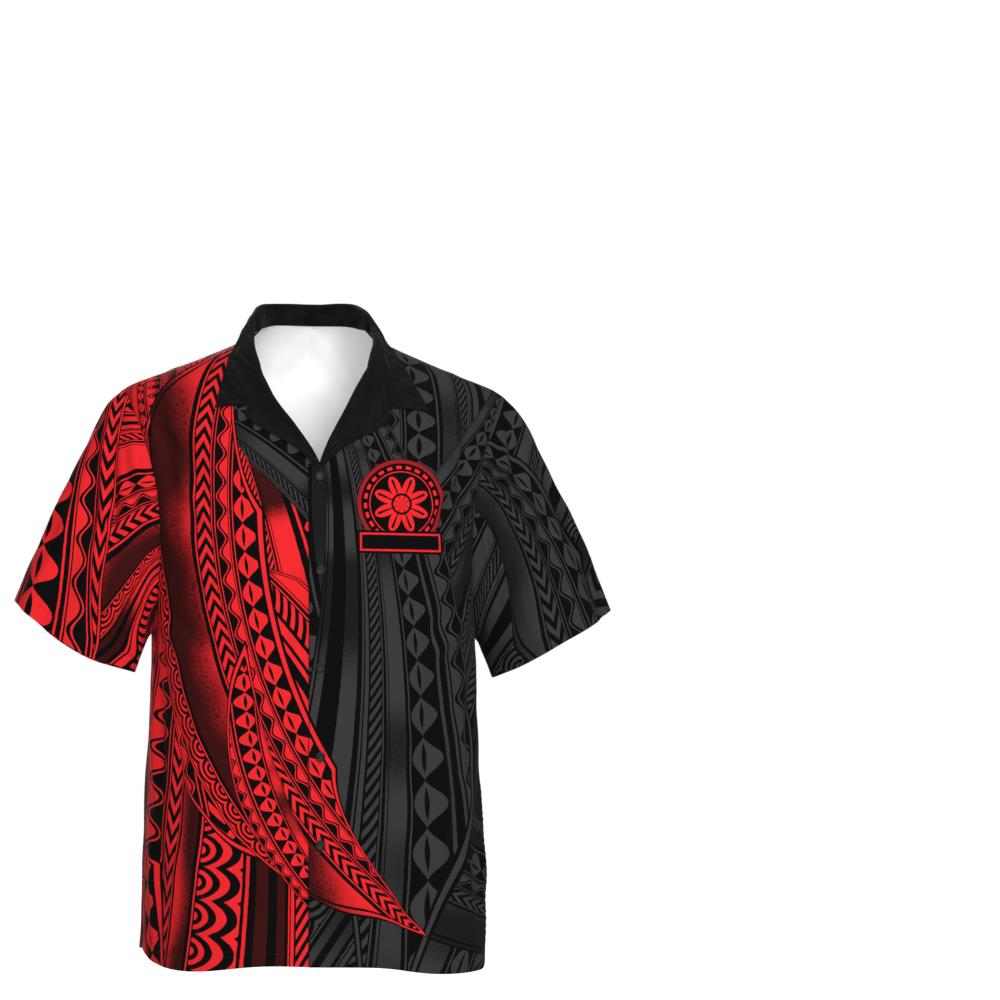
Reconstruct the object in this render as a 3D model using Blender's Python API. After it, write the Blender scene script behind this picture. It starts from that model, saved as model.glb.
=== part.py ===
"""Short-sleeved bowling shirt with a camp collar, filled out as it is worn, with nobody in it.

Modelled in metres from sizes given in millimetres. X runs to the wearer's left, Y to the wearer's back
and Z up. The origin is where the wearer's neck leaves the shoulders: midway between the two neck points.
Each cut piece is a wall of cloth. The shell is laid out once as a toile of sections, all panels joined,
and every panel is then parted from its neighbours by the seam gap and given its thickness.
"""

import math
from typing import NamedTuple

import bmesh
import bpy
import numpy as np
from mathutils import Vector
from mathutils.bvhtree import BVHTree

MM = 0.001
PANELS = ("front_left", "front_right", "back", "sleeve_left", "sleeve_right")
TURNED = ("collar", "lapel_left", "lapel_right")
NORMAL_LAYERS = ("normal_x", "normal_y", "normal_z")
SEAM_LAYER = "seam"

# ---- driving sizes, in millimetres ----
CLOTH = 1.6  # wall of the printed panels
COLLAR_CLOTH = 2.0  # two layers of plain cloth with interfacing
SEAM_GAP = 0.45
GORGE_GAP = 0.7
FOOT_GAP = 0.8  # between the collar's foot and the neckline's edge
OVERLAP = 12.5  # each front edge past the centre front
UNDERLAP_DROP = CLOTH + 0.5  # the right front lies this far behind the left one
UNDERLAP_HOLD = 26.0  # it keeps that depth to here and rejoins the chest further out
UNDERLAP_END = 66.0

UNDERARM = -335.0  # heights
BREAK = -136.0  # where the lapels start to turn back
FRONT_CORNER = -143.0  # top of each front's overlapping edge
LEAN = 0.015  # the garment hangs this much lower towards the wearer's left
SHOULDER_POINT = (204.0, -50.0)
NECK_POINT = (72.0, 5.0)
NECK_BACK_DEPTH = 60.0  # centre back of the neckline, behind the neck point

FRONT_SQUARENESS = 2.4  # exponent of the superellipse sections
BACK_SQUARENESS = 2.6
FRONT_SHOULDER_DROP = 110.0  # the shoulder rounds over within this height
BACK_SHOULDER_DROP = 80.0

ARMHOLE_FRONT = 62.0  # reach of the armhole to the front and to the back
ARMHOLE_BACK = 60.0

BODY_ROWS = 10
CHEST_ROWS = 4  # rows of a front from the underarm to the break
ROLL_ROWS = 8  # rows along the roll line
NECK_FRONT_ROWS = 6
NECK_BACK_ROWS = 8
YOKE_ROWS = CHEST_ROWS + ROLL_ROWS + NECK_FRONT_ROWS
HALF_COLUMNS = 14
SLEEVE_RINGS = 11

BUTTON_RADIUS = 5.6
BUTTON_THICKNESS = 2.4
BUTTON_HEIGHTS = (-157.0, -263.0, -373.0, -474.5, -574.5)
BUTTON_STEPS = 18


class Section(NamedTuple):
    """A level section of the body."""

    height: float
    half_width: float
    front_depth: float
    back_depth: float


SECTIONS = (
    Section(-760, 198.0, 129, 121),
    Section(-620, 195.0, 127, 117),
    Section(-500, 191.0, 126, 113),
    Section(-400, 187.0, 129, 116),
    Section(-335, 186.0, 131, 120),
    Section(-280, 187.5, 131, 123),
    Section(-200, 197.0, 124, 123),
    Section(-130, 209.0, 111, 117),
    Section(-50, 225.0, 88, 101),
    Section(0, 235.0, 74, 90),
    Section(40, 245.0, 62, 78),
)


class HemPoint(NamedTuple):
    """A point of the hem, by its share of the way from the centre to the side seam."""

    share: float
    front: float
    back: float


HEM = (
    HemPoint(0.00, -712, -712),
    HemPoint(0.25, -712, -711),
    HemPoint(0.50, -719, -707),
    HemPoint(0.70, -717, -702),
    HemPoint(0.86, -711, -699),
    HemPoint(1.00, -697, -697),
)
HEM_LEVEL = -710.0


class Ridge(NamedTuple):
    """A point of the shoulder line, seen from the front."""

    out: float
    height: float


SHOULDER_LINE = (
    Ridge(0, 50),
    Ridge(36, 40),
    Ridge(60, 18),
    Ridge(72, 5),
    Ridge(90, -4),
    Ridge(130, -21),
    Ridge(170, -37),
    Ridge(204, -50),
    Ridge(240, -66),
)


class Spot(NamedTuple):
    """A point of a line drawn on the front, seen from the front."""

    out: float
    height: float


class EdgeSpot(NamedTuple):
    """A point of a line drawn on both fronts: how far out it lies on the wearer's left and right."""

    height: float
    left: float
    right: float


ROLL_LINE = (
    EdgeSpot(BREAK, 3, 3),
    EdgeSpot(-116, 10.5, 15),
    EdgeSpot(-79, 30.5, 43),
    EdgeSpot(-50, 45.5, 58.5),
    EdgeSpot(-31, 57, 64.5),
)
NECK_FRONT = (
    EdgeSpot(-31, 57, 64.5),
    EdgeSpot(-15, 64, 70.5),
    EdgeSpot(-3, 69, 72),
    EdgeSpot(NECK_POINT[1], NECK_POINT[0], NECK_POINT[0]),
)
LAPEL_EDGE = (Spot(8, -138.2), Spot(29, -126), Spot(54, -113), Spot(74, -100), Spot(84, -89))
NOTCH = EdgeSpot(-77, 77.5, 79.5)


class CollarPoint(NamedTuple):
    """A point of a collar line, by its share of the way from centre back to the gorge.

    It lies this far out on the wearer's left and right.
    """

    share: float
    left: float
    right: float
    back: float
    height: float


FOLD_LINE = (
    CollarPoint(0.00, 0, 0, 60, 46),
    CollarPoint(0.18, 32, 32, 55, 46),
    CollarPoint(0.34, 47, 49, 40, 42),
    CollarPoint(0.48, 57, 59, 20, 33),
    CollarPoint(0.60, 63.5, 67, 0, 22),
    CollarPoint(0.75, 65.5, 71.5, -25, 4),
    CollarPoint(0.88, 63, 71, -48, -13),
    CollarPoint(1.00, 57, 64.5, -67, -29),
)
LEAF_EDGE = (
    CollarPoint(0.00, 0, 0, 75, 14),
    CollarPoint(0.18, 37, 37, 70, 13),
    CollarPoint(0.34, 55, 56, 50, 10),
    CollarPoint(0.48, 68, 70, 22, 6),
    CollarPoint(0.60, 79, 85, -4, 3),
    CollarPoint(0.75, 93, 96, -34, -19),
    CollarPoint(0.88, 108, 106, -58, -50),
    CollarPoint(1.00, 122, 115, -78, -80),
)
COLLAR_ROLL = 3.2  # radius of the fold, at the middle of the cloth
LAPEL_ROLL_START = 2.0
LEAF_CLEARANCE = 1.6
LAPEL_CLEARANCE = 0.6
LEAF_BELLY = 3.0  # the leaf rounds outwards by this between its fold and its edge
STAND_STEPS = 3
ROLL_STEPS = 5
LAPEL_STEPS = 4
TIP_STEPS = 3


class ArmStation(NamedTuple):
    """A station of the sleeve: its upper and lower edge, seen from the front, and half its depth."""

    share: float
    top_out: float
    top_height: float
    low_out: float
    low_height: float
    half_depth: float
    forward: float


SLEEVE = (
    ArmStation(0.00, 204, -50, 186.0, -335, 62, 0),
    ArmStation(0.04, 214, -56, 187.2, -338, 62, 0),
    ArmStation(0.12, 232, -76, 189.5, -342, 62, 1),
    ArmStation(0.28, 257, -117, 193.0, -350, 61, 2),
    ArmStation(0.50, 289, -179, 197.0, -360, 58, 4),
    ArmStation(0.75, 318, -243, 201.0, -371, 54, 6),
    ArmStation(1.00, 343, -302, 205.0, -382, 51, 8),
)
CUFF_DIP = {1: 4.0, -1: 13.0}  # the cuffs' edges run this much lower between their corners


class Flute(NamedTuple):
    """A soft wave of the body that opens towards the hem.

    Degrees run from the centre front to the wearer's left.
    """

    degrees: float
    spread: float
    lift: float
    top: float


FLUTES = (
    Flute(-158, 11, 6.0, -420),
    Flute(-128, 9, -6.5, -380),
    Flute(-104, 8, 5.5, -430),
    Flute(-74, 9, -5.5, -400),
    Flute(-52, 8, 4.5, -470),
    Flute(-22, 9, -4.5, -500),
    Flute(20, 9, 4.0, -520),
    Flute(44, 8, -5.0, -450),
    Flute(70, 9, 5.5, -400),
    Flute(99, 8, -6.0, -420),
    Flute(124, 9, 6.5, -370),
    Flute(150, 9, -6.5, -400),
    Flute(176, 8, 4.5, -450),
)


class Crease(NamedTuple):
    """A soft ridge or trough of a body panel, seen from the front, on the wearer's left (1) or right (-1)."""

    face: str
    hand: int
    start: Spot
    end: Spot
    spread: float
    lift: float


CREASES = (
    Crease("front", -1, Spot(172, -95), Spot(135, -190), 15, -5.0),
    Crease("front", -1, Spot(158, -215), Spot(112, -300), 18, 4.5),
    Crease("front", 1, Spot(176, -110), Spot(140, -210), 15, -4.5),
    Crease("front", 1, Spot(158, -250), Spot(108, -330), 18, 4.5),
    Crease("front", -1, Spot(150, -395), Spot(95, -520), 22, 4.0),
    Crease("front", 1, Spot(152, -410), Spot(100, -500), 22, -4.0),
    Crease("back", -1, Spot(160, -130), Spot(120, -260), 20, -6.0),
    Crease("back", 1, Spot(160, -140), Spot(125, -280), 20, -6.0),
    Crease("back", -1, Spot(150, -300), Spot(80, -390), 24, 5.0),
    Crease("back", 1, Spot(150, -320), Spot(85, -430), 24, 5.0),
)


class SleeveFold(NamedTuple):
    """A soft fold down a sleeve, by its turn from the top edge towards the front, in degrees."""

    hand: int
    degrees: float
    spread: float
    lift: float
    start: float
    peak: float


SLEEVE_FOLDS = (
    SleeveFold(-1, 38, 11, 5.5, 0.05, 0.45),
    SleeveFold(-1, 62, 11, -6.0, 0.05, 0.50),
    SleeveFold(-1, 100, 14, 5.0, 0.25, 0.80),
    SleeveFold(-1, 138, 13, -6.0, 0.20, 0.70),
    SleeveFold(-1, -55, 14, -5.5, 0.10, 0.60),
    SleeveFold(-1, -110, 15, 5.0, 0.20, 0.80),
    SleeveFold(1, 30, 10, -5.5, 0.05, 0.40),
    SleeveFold(1, 54, 11, 6.0, 0.05, 0.45),
    SleeveFold(1, 84, 12, -5.5, 0.10, 0.60),
    SleeveFold(1, 125, 14, 5.0, 0.25, 0.80),
    SleeveFold(1, -50, 14, 5.0, 0.10, 0.50),
    SleeveFold(1, -105, 15, -5.5, 0.20, 0.80),
)
SEAM_FADE = 26.0  # creases die out over this length towards a seam


def smooth_line(rows, knot, value):
    """A smooth function through one column of a table, with another column as its variable."""
    xs = np.array([getattr(row, knot) for row in rows], float)
    ys = np.array([getattr(row, value) for row in rows], float)
    if xs[0] > xs[-1]:
        xs, ys = xs[::-1], ys[::-1]
    slopes = np.gradient(ys, xs)

    def at(x):
        x = min(max(x, xs[0]), xs[-1])
        i = min(int(np.searchsorted(xs, x, side="right")) - 1, len(xs) - 2)
        span = xs[i + 1] - xs[i]
        t = (x - xs[i]) / span
        return (
            (2 * t**3 - 3 * t**2 + 1) * ys[i]
            + (t**3 - 2 * t**2 + t) * span * slopes[i]
            + (3 * t**2 - 2 * t**3) * ys[i + 1]
            + (t**3 - t**2) * span * slopes[i + 1]
        )

    return at


half_width_at = smooth_line(SECTIONS, "height", "half_width")
DEPTH_AT = {
    "front": smooth_line(SECTIONS, "height", "front_depth"),
    "back": smooth_line(SECTIONS, "height", "back_depth"),
}
SQUARENESS = {"front": FRONT_SQUARENESS, "back": BACK_SQUARENESS}
SHOULDER_DROP = {"front": FRONT_SHOULDER_DROP, "back": BACK_SHOULDER_DROP}
TOWARDS = {"front": -1.0, "back": 1.0}
shoulder_at = smooth_line(SHOULDER_LINE, "out", "height")
HEM_AT = {face: smooth_line(HEM, "share", face) for face in ("front", "back")}


def smoothstep(low, high, x):
    t = min(max((x - low) / (high - low), 0.0), 1.0)
    return t * t * (3 - 2 * t)


def depth(face, out, height):
    """How far the body's surface stands in front of or behind the shoulder seams' plane."""
    n = SQUARENESS[face]
    share = min(abs(out) / half_width_at(height), 1.0)
    section = DEPTH_AT[face](height) * (1 - share**n) ** (1 / n)
    below = max(shoulder_at(abs(out)) - height, 0.0)
    rounding = 1 - min(below / SHOULDER_DROP[face], 1.0)
    return section * math.sqrt(1 - rounding**2)


def fluting(angle, height):
    """How far the hem's waves push the body outwards, at this angle from the centre front."""
    push = 0.0
    for flute in FLUTES:
        turn = (angle - flute.degrees + 180) % 360 - 180
        push += flute.lift * math.exp(-((turn / flute.spread) ** 2)) * smoothstep(flute.top, HEM_LEVEL, height)
    return push


def on_body(face, out, height):
    """The point of the body's surface at this place, seen from the front."""
    point = np.array([out, TOWARDS[face] * depth(face, out, height), height])
    angle = math.degrees(math.atan2(point[0], -point[1]))
    radial = np.array([point[0], point[1], 0.0])
    length = np.linalg.norm(radial)
    return point + radial / max(length, 1e-6) * fluting(angle, height)


def unit(vector):
    return vector / max(np.linalg.norm(vector), 1e-9)


def body_normal(face, out, height, step=0.5):
    """The outward normal of the body's surface."""
    across = on_body(face, out + step, height) - on_body(face, out - step, height)
    upwards = on_body(face, out, height + step) - on_body(face, out, height - step)
    return unit(np.cross(across, upwards)) * -TOWARDS[face]


def evenly(points, count):
    """The polyline again with this many equal steps."""
    points = np.asarray(points, float)
    along = np.concatenate([[0], np.cumsum(np.linalg.norm(np.diff(points, axis=0), axis=1))])
    at = np.linspace(0, along[-1], count + 1)
    return np.stack([np.interp(at, along, points[:, k]) for k in range(points.shape[1])], axis=1)


def through(spots, count, fine=12):
    """Equal steps along the smooth line through these spots."""
    spots = np.array(spots, float)
    chord = np.concatenate([[0], np.cumsum(np.linalg.norm(np.diff(spots, axis=0), axis=1))])
    slopes = np.gradient(spots, chord, axis=0)
    line = []
    for i in range(len(spots) - 1):
        span = chord[i + 1] - chord[i]
        for t in np.linspace(0, 1, fine, endpoint=i == len(spots) - 2):
            line.append(
                (2 * t**3 - 3 * t**2 + 1) * spots[i]
                + (t**3 - 2 * t**2 + t) * span * slopes[i]
                + (3 * t**2 - 2 * t**3) * spots[i + 1]
                + (t**3 - t**2) * span * slopes[i + 1]
            )
    return evenly(line, count)


def armhole(face, turn):
    """The armhole's edge at this turn from the shoulder point (0) to the underarm (pi)."""
    share = (1 - math.cos(turn)) / 2
    height = SHOULDER_POINT[1] + (UNDERARM - SHOULDER_POINT[1]) * share
    reach = ARMHOLE_FRONT if face == "front" else ARMHOLE_BACK
    wanted = reach * max(math.sin(turn), 0.0) ** (2.0 - 1.1 * share)
    low, high = 0.0, half_width_at(height)
    for _ in range(40):
        middle = (low + high) / 2
        if depth(face, middle, height) > wanted:
            low = middle
        else:
            high = middle
    return Spot(low, height)


def neckline_back(share):
    """The neckline from centre back (0) to the neck point (1), seen from the front."""
    out = NECK_POINT[0] * math.sin(share * math.pi / 2)
    wanted = NECK_BACK_DEPTH * math.cos(share * math.pi / 2)
    low, high = -60.0, shoulder_at(out)
    for _ in range(40):
        middle = (low + high) / 2
        if depth("back", out, middle) > wanted:
            low = middle
        else:
            high = middle
    return Spot(out, (low + high) / 2)


def side_name(hand):
    return "left" if hand > 0 else "right"


def spots(rows, hand):
    """The line's spots on one front, as (out, height)."""
    return [Spot(getattr(row, side_name(hand)), row.height) for row in rows]


def inner_edge_front(hand):
    """The front's inner edge from the hem to the neck point, one spot a row."""
    hem = HEM_AT["front"](0)
    opening = [Spot(-OVERLAP, hem + (UNDERARM - hem) * r / BODY_ROWS) for r in range(BODY_ROWS)]
    rise = (FRONT_CORNER - UNDERARM) / (CHEST_ROWS - 1)
    chest = [Spot(-OVERLAP, UNDERARM + rise * r) for r in range(CHEST_ROWS)]
    roll = through(spots(ROLL_LINE, hand), ROLL_ROWS)
    direction = np.gradient(roll, axis=0)
    away = np.stack([direction[:, 1], -direction[:, 0]], axis=1)
    away /= np.linalg.norm(away, axis=1)[:, None]
    widths = np.array([lapel_roll(k / ROLL_ROWS) for k in range(ROLL_ROWS + 1)])
    parted = roll + away * (widths[:, None] + SEAM_GAP)
    neck = through(spots(NECK_FRONT, hand), NECK_FRONT_ROWS)
    neck += (parted[-1] - roll[-1]) * np.linspace(1, 0, NECK_FRONT_ROWS + 1)[:, None] ** 2
    return opening + chest + [Spot(*p) for p in parted] + [Spot(*p) for p in neck[1:]]


def inner_edge_back():
    """The back's centre line from the hem to the neckline, and the neckline to the neck point."""
    hem = HEM_AT["back"](0)
    below = [Spot(0, hem + (UNDERARM - hem) * r / BODY_ROWS) for r in range(BODY_ROWS)]
    rows = YOKE_ROWS - NECK_BACK_ROWS
    top = neckline_back(0).height
    above = [Spot(0, UNDERARM + (top - UNDERARM) * r / rows) for r in range(rows)]
    return below + above + [neckline_back(k / NECK_BACK_ROWS) for k in range(NECK_BACK_ROWS + 1)]


def outer_edge(face):
    """The side seam from the hem to the underarm, and the armhole to the shoulder point."""
    hem = HEM_AT[face](1)
    side = [hem + (UNDERARM - hem) * r / BODY_ROWS for r in range(BODY_ROWS)]
    seam = [Spot(half_width_at(z), z) for z in side]
    return seam + [armhole(face, math.pi * (1 - r / YOKE_ROWS)) for r in range(YOKE_ROWS + 1)]


def lapel_roll(share):
    """Radius of the lapel's fold, by the share of the way up the roll line."""
    return LAPEL_ROLL_START + (COLLAR_ROLL - LAPEL_ROLL_START) * smoothstep(0, 0.35, share)


def crease_lift(face, hand, spot, to_seam):
    """How far the creases lift this place of a panel."""
    lift = 0.0
    here = np.array(spot[:2])
    for crease in CREASES:
        if crease.face != face or crease.hand != hand:
            continue
        start, end = np.array(crease.start), np.array(crease.end)
        run = end - start
        along = float((here - start) @ run / (run @ run))
        nearest = start + run * min(max(along, 0.0), 1.0)
        taper = math.sin(math.pi * min(max((along + 0.25) / 1.5, 0.0), 1.0))
        lift += crease.lift * taper * math.exp(-((np.linalg.norm(here - nearest) / crease.spread) ** 2))
    return lift * smoothstep(0, SEAM_FADE, to_seam)


def half_panel(face, hand, inner, outer, columns=HALF_COLUMNS):
    """Rows of points of one half of the body, from its inner edge to its side, on the wearer's left."""
    grid = []
    hem = HEM_AT[face]
    for r, (start, end) in enumerate(zip(inner, outer)):
        line = []
        below = 1 - min(r / BODY_ROWS, 1.0)
        drop = (shoulder_at(abs(start.out)) - start.height, shoulder_at(end.out) - end.height)
        for q in np.linspace(0, 1, 81):
            s = math.sin(q * math.pi / 2)
            out = start.out + (end.out - start.out) * s
            ruled = shoulder_at(abs(out)) - (drop[0] + (drop[1] - drop[0]) * s)
            level = hem(q) * below + UNDERARM * (1 - below)
            height = level if below > 0 else ruled
            line.append(np.array([out, TOWARDS[face] * depth(face, out, height), height]))
        grid.append(evenly(line, columns))
    return dress(np.array(grid), face, hand)


def dress(grid, face, hand):
    """The flutes and creases of a half panel, added to its plain rows."""
    rows, columns = grid.shape[:2]
    made = grid.copy()
    lengths = np.linalg.norm(np.diff(grid, axis=1), axis=2)
    along = np.concatenate([np.zeros((rows, 1)), np.cumsum(lengths, axis=1)], axis=1)
    for r in range(rows):
        for c in range(columns):
            point = grid[r, c]
            angle = hand * math.degrees(math.atan2(point[0], -point[1]))
            radial = unit(np.array([point[0], point[1], 0.0]))
            across = grid[r, min(c + 1, columns - 1)] - grid[r, max(c - 1, 0)]
            upwards = grid[min(r + 1, rows - 1), c] - grid[max(r - 1, 0), c]
            normal = unit(np.cross(across, upwards)) * -TOWARDS[face]
            to_seam = min(along[r, -1] - along[r, c], max(shoulder_at(abs(point[0])) - point[2], 0.0))
            lift = crease_lift(face, hand, (point[0], point[2]), to_seam)
            made[r, c] = point + radial * fluting(angle, point[2]) + normal * lift
    return made


def sleeve_grid(hand, edge_front, edge_back):
    """Rings of a sleeve on the wearer's left, from the armhole to the cuff.

    Each starts at the shoulder point and runs down the front.
    """
    station = {name: smooth_line(SLEEVE, "share", name) for name in ArmStation._fields[1:]}
    loop = np.concatenate([edge_front[::-1], edge_back[1:-1]])
    count = len(loop)
    turns = [math.pi * k / YOKE_ROWS for k in range(count)]
    rings = []
    for i in range(SLEEVE_RINGS + 1):
        share = i / SLEEVE_RINGS
        ring = []
        for turn, seam in zip(turns, loop):
            plain = sleeve_point(station, hand, share, turn)
            start = sleeve_point(station, hand, 0.0, turn)
            held = (1 - share) ** 3
            point = plain + (seam - start) * held
            centre = sleeve_centre(station, share)
            outward = unit(point - centre)
            ring.append(point + outward * sleeve_lift(hand, share, math.degrees(turn)))
        rings.append(ring)
    return np.array(rings)


def sleeve_centre(station, share):
    top = np.array([station["top_out"](share), -station["forward"](share), station["top_height"](share)])
    low = np.array([station["low_out"](share), -station["forward"](share), station["low_height"](share)])
    return (top + low) / 2


def sleeve_point(station, hand, share, turn):
    """A point of the plain sleeve."""
    top = np.array([station["top_out"](share), -station["forward"](share), station["top_height"](share)])
    low = np.array([station["low_out"](share), -station["forward"](share), station["low_height"](share)])
    centre, half = (top + low) / 2, (top - low) / 2
    down = unit(np.array([half[2], 0.0, -half[0]]))
    dip = CUFF_DIP[hand] * share**4 * math.sin(turn) ** 2
    forward = np.array([0.0, -station["half_depth"](share) * math.sin(turn), 0.0])
    return centre + half * math.cos(turn) + forward + down * dip


def sleeve_lift(hand, share, degrees):
    lift = 0.0
    for fold in SLEEVE_FOLDS:
        if fold.hand != hand:
            continue
        turn = (degrees - fold.degrees + 180) % 360 - 180
        rise = smoothstep(fold.start, fold.peak, share)
        lift += fold.lift * math.exp(-((turn / fold.spread) ** 2)) * rise
    return lift


def mirrored(grid):
    return grid * np.array([-1.0, 1.0, 1.0])


def add_grid(bm, grid, panel, flip, closed=False):
    """Adds a grid of points as quads tagged with their panel's number."""
    rows, columns = grid.shape[:2]
    verts = [[bm.verts.new(p) for p in row] for row in grid]
    last = columns if closed else columns - 1
    for r in range(rows - 1):
        for c in range(last):
            n = (c + 1) % columns
            corners = [verts[r][c], verts[r][n], verts[r + 1][n], verts[r + 1][c]]
            face = bm.faces.new(corners[::-1] if flip else corners)
            face.material_index = panel
    return verts


def underlapped(grid):
    """The right front's points, sunk behind the left front where the two overlap."""
    made = grid.copy()
    for row in made:
        for point in row:
            ramp = 1 - smoothstep(UNDERLAP_HOLD, UNDERLAP_END, point[0])
            fade = 1 - smoothstep(BREAK - 1, BREAK + 12, point[2])
            point[1] += UNDERLAP_DROP * ramp * fade
    return made


def build_shell():
    """The whole shell as one surface, its faces numbered by panel, and the grids that it came from."""
    outer = {face: outer_edge(face) for face in ("front", "back")}
    fronts = {hand: half_panel("front", hand, inner_edge_front(hand), outer["front"]) for hand in (1, -1)}
    backs = {hand: half_panel("back", hand, inner_edge_back(), outer["back"]) for hand in (1, -1)}
    fronts[-1] = underlapped(fronts[-1])
    sleeves = {
        hand: sleeve_grid(hand, fronts[hand][BODY_ROWS:, -1], backs[hand][BODY_ROWS:, -1])
        for hand in (1, -1)
    }
    bm = bmesh.new()
    add_grid(bm, fronts[1], PANELS.index("front_left"), False)
    add_grid(bm, mirrored(fronts[-1]), PANELS.index("front_right"), True)
    add_grid(bm, backs[1], PANELS.index("back"), True)
    add_grid(bm, mirrored(backs[-1]), PANELS.index("back"), False)
    add_grid(bm, sleeves[1], PANELS.index("sleeve_left"), False, closed=True)
    add_grid(bm, mirrored(sleeves[-1]), PANELS.index("sleeve_right"), True, closed=True)
    bmesh.ops.remove_doubles(bm, verts=bm.verts, dist=0.05)
    mark_seams(bm)
    return bm, fronts, backs


def material(name, colour, roughness):
    made = bpy.data.materials.new(name)
    made.use_nodes = True
    shader = made.node_tree.nodes["Principled BSDF"]
    shader.inputs["Base Color"].default_value = (*colour, 1)
    shader.inputs["Roughness"].default_value = roughness
    return made


def add_object(name, bm, finish):
    """Makes a node of a bmesh in millimetres, with the garment's lean."""
    for vert in bm.verts:
        vert.co.z -= LEAN * vert.co.x
    bmesh.ops.scale(bm, verts=bm.verts, vec=(MM, MM, MM))
    mesh = bpy.data.meshes.new(name)
    bm.to_mesh(mesh)
    bm.free()
    mesh.shade_smooth()
    mesh.set_sharp_from_angle(angle=math.radians(50))
    mesh.materials.append(finish)
    node = bpy.data.objects.new(name, mesh)
    bpy.context.scene.collection.objects.link(node)
    return node


def wall(bm, outside, inside):
    """Closes a sheet into a wall, along the normals that its vertices carry."""
    layers = [bm.verts.layers.float[name] for name in NORMAL_LAYERS]
    made = bmesh.ops.extrude_face_region(bm, geom=list(bm.faces), use_keep_orig=True)
    moved = {item for item in made["geom"] if isinstance(item, bmesh.types.BMVert)}
    for vert in bm.verts:
        normal = Vector([vert[layer] for layer in layers])
        vert.co += normal * (outside if vert in moved else -inside)
    bmesh.ops.recalc_face_normals(bm, faces=bm.faces)
    return bm


def mark_seams(bm):
    """Keeps with each vertex its normal and whether panels meet there, so that parted pieces still match."""
    bm.normal_update()
    for name in NORMAL_LAYERS:
        bm.verts.layers.float.new(name)
    bm.verts.layers.int.new(SEAM_LAYER)
    layers = [bm.verts.layers.float[name] for name in NORMAL_LAYERS]
    seam = bm.verts.layers.int[SEAM_LAYER]
    for vert in bm.verts:
        vert[seam] = int(len({face.material_index for face in vert.link_faces}) > 1)
        for layer, value in zip(layers, vert.normal):
            vert[layer] = value


def part_seams(bm, gap):
    """Draws a panel back from its seams by half the gap, in its own plane."""
    layers = [bm.verts.layers.float[name] for name in NORMAL_LAYERS]
    seam = bm.verts.layers.int[SEAM_LAYER]
    moves = {}
    for vert in bm.verts:
        if not vert[seam]:
            continue
        ends = [edge.other_vert(vert) for edge in vert.link_edges if edge.is_boundary]
        steps = [(end.co - vert.co).normalized() for end in ends]
        if len(vert.link_faces) == 1:
            free = [step for step, end in zip(steps, ends) if not end[seam]]
            moves[vert] = sum(free or steps, Vector()) * gap / 2
            continue
        normal = Vector([vert[layer] for layer in layers])
        inward = Vector((0, 0, 0))
        for face in vert.link_faces:
            inward += (face.calc_center_median() - vert.co).normalized()
        along = (steps[0] - steps[1]).normalized()
        inward -= along * inward.dot(along)
        inward -= normal * inward.dot(normal)
        moves[vert] = inward.normalized() * gap / 2
    for vert, move in moves.items():
        vert.co += move


def cut_panel(toile, names, name, outside, inside, gap, finish):
    """One panel of a toile as a wall of cloth, reaching this far to each side of the toile."""
    bm = toile.copy()
    number = names.index(name)
    others = [face for face in bm.faces if face.material_index != number]
    bmesh.ops.delete(bm, geom=others, context="FACES")
    part_seams(bm, gap)
    for face in bm.faces:
        face.material_index = 0
    return add_object(name, wall(bm, outside, inside), finish)


def fold_path(extreme, lie, outward, radius, steps):
    """Points round a fold, from under it to over it. The cloth goes on from `extreme` along `lie`."""
    centre = extreme + lie * radius
    turns = np.linspace(0, math.pi, steps + 1)
    return [centre - radius * (math.cos(a) * outward + math.sin(a) * lie) for a in turns]


def lapel_grid(hand, tree):
    """The turned-back edge of a front, from the break to the gorge.

    Each row runs round the roll line and out over the chest.
    """
    roll = through(spots(ROLL_LINE, hand), ROLL_ROWS)
    edge = np.concatenate([through(LAPEL_EDGE, ROLL_ROWS - 1), spots([NOTCH], hand)])
    rest = COLLAR_CLOTH / 2 + LAPEL_CLEARANCE
    grid = []
    for k in range(ROLL_ROWS + 1):
        radius = lapel_roll(k / ROLL_ROWS)
        outward = body_normal("front", *roll[k])
        foot = on_body("front", *roll[k])
        lie = on_body("front", *edge[k]) - foot
        lie = unit(lie - outward * (lie @ outward))
        row = fold_path(foot + outward * (radius - CLOTH / 2), lie, outward, radius, STAND_STEPS + ROLL_STEPS)
        over = row[-1]
        end = on_body("front", *edge[k]) + body_normal("front", *edge[k]) * rest
        for t in np.linspace(0, 1, LAPEL_STEPS + 1)[1:]:
            spot = roll[k] + (edge[k] - roll[k]) * t
            lift = rest + (2 * radius - CLOTH / 2 - rest) * (1 - t) ** 1.2
            flat = on_body("front", *spot) + body_normal("front", *spot) * lift
            straight = over + (end - over) * t
            row.append(clear_of(tree, flat + (straight - flat) * (1 - t) ** 2, rest))
        grid.append(row)
    return np.array(grid)


def collar_line(rows, hand, share):
    return np.array([smooth_line(rows, "share", name)(share) for name in (side_name(hand), "back", "height")])


def corner_pull(run):
    """How much a line of the collar is drawn towards the gorge."""
    return max((run - 0.62) / 0.38, 0.0) ** 2


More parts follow.
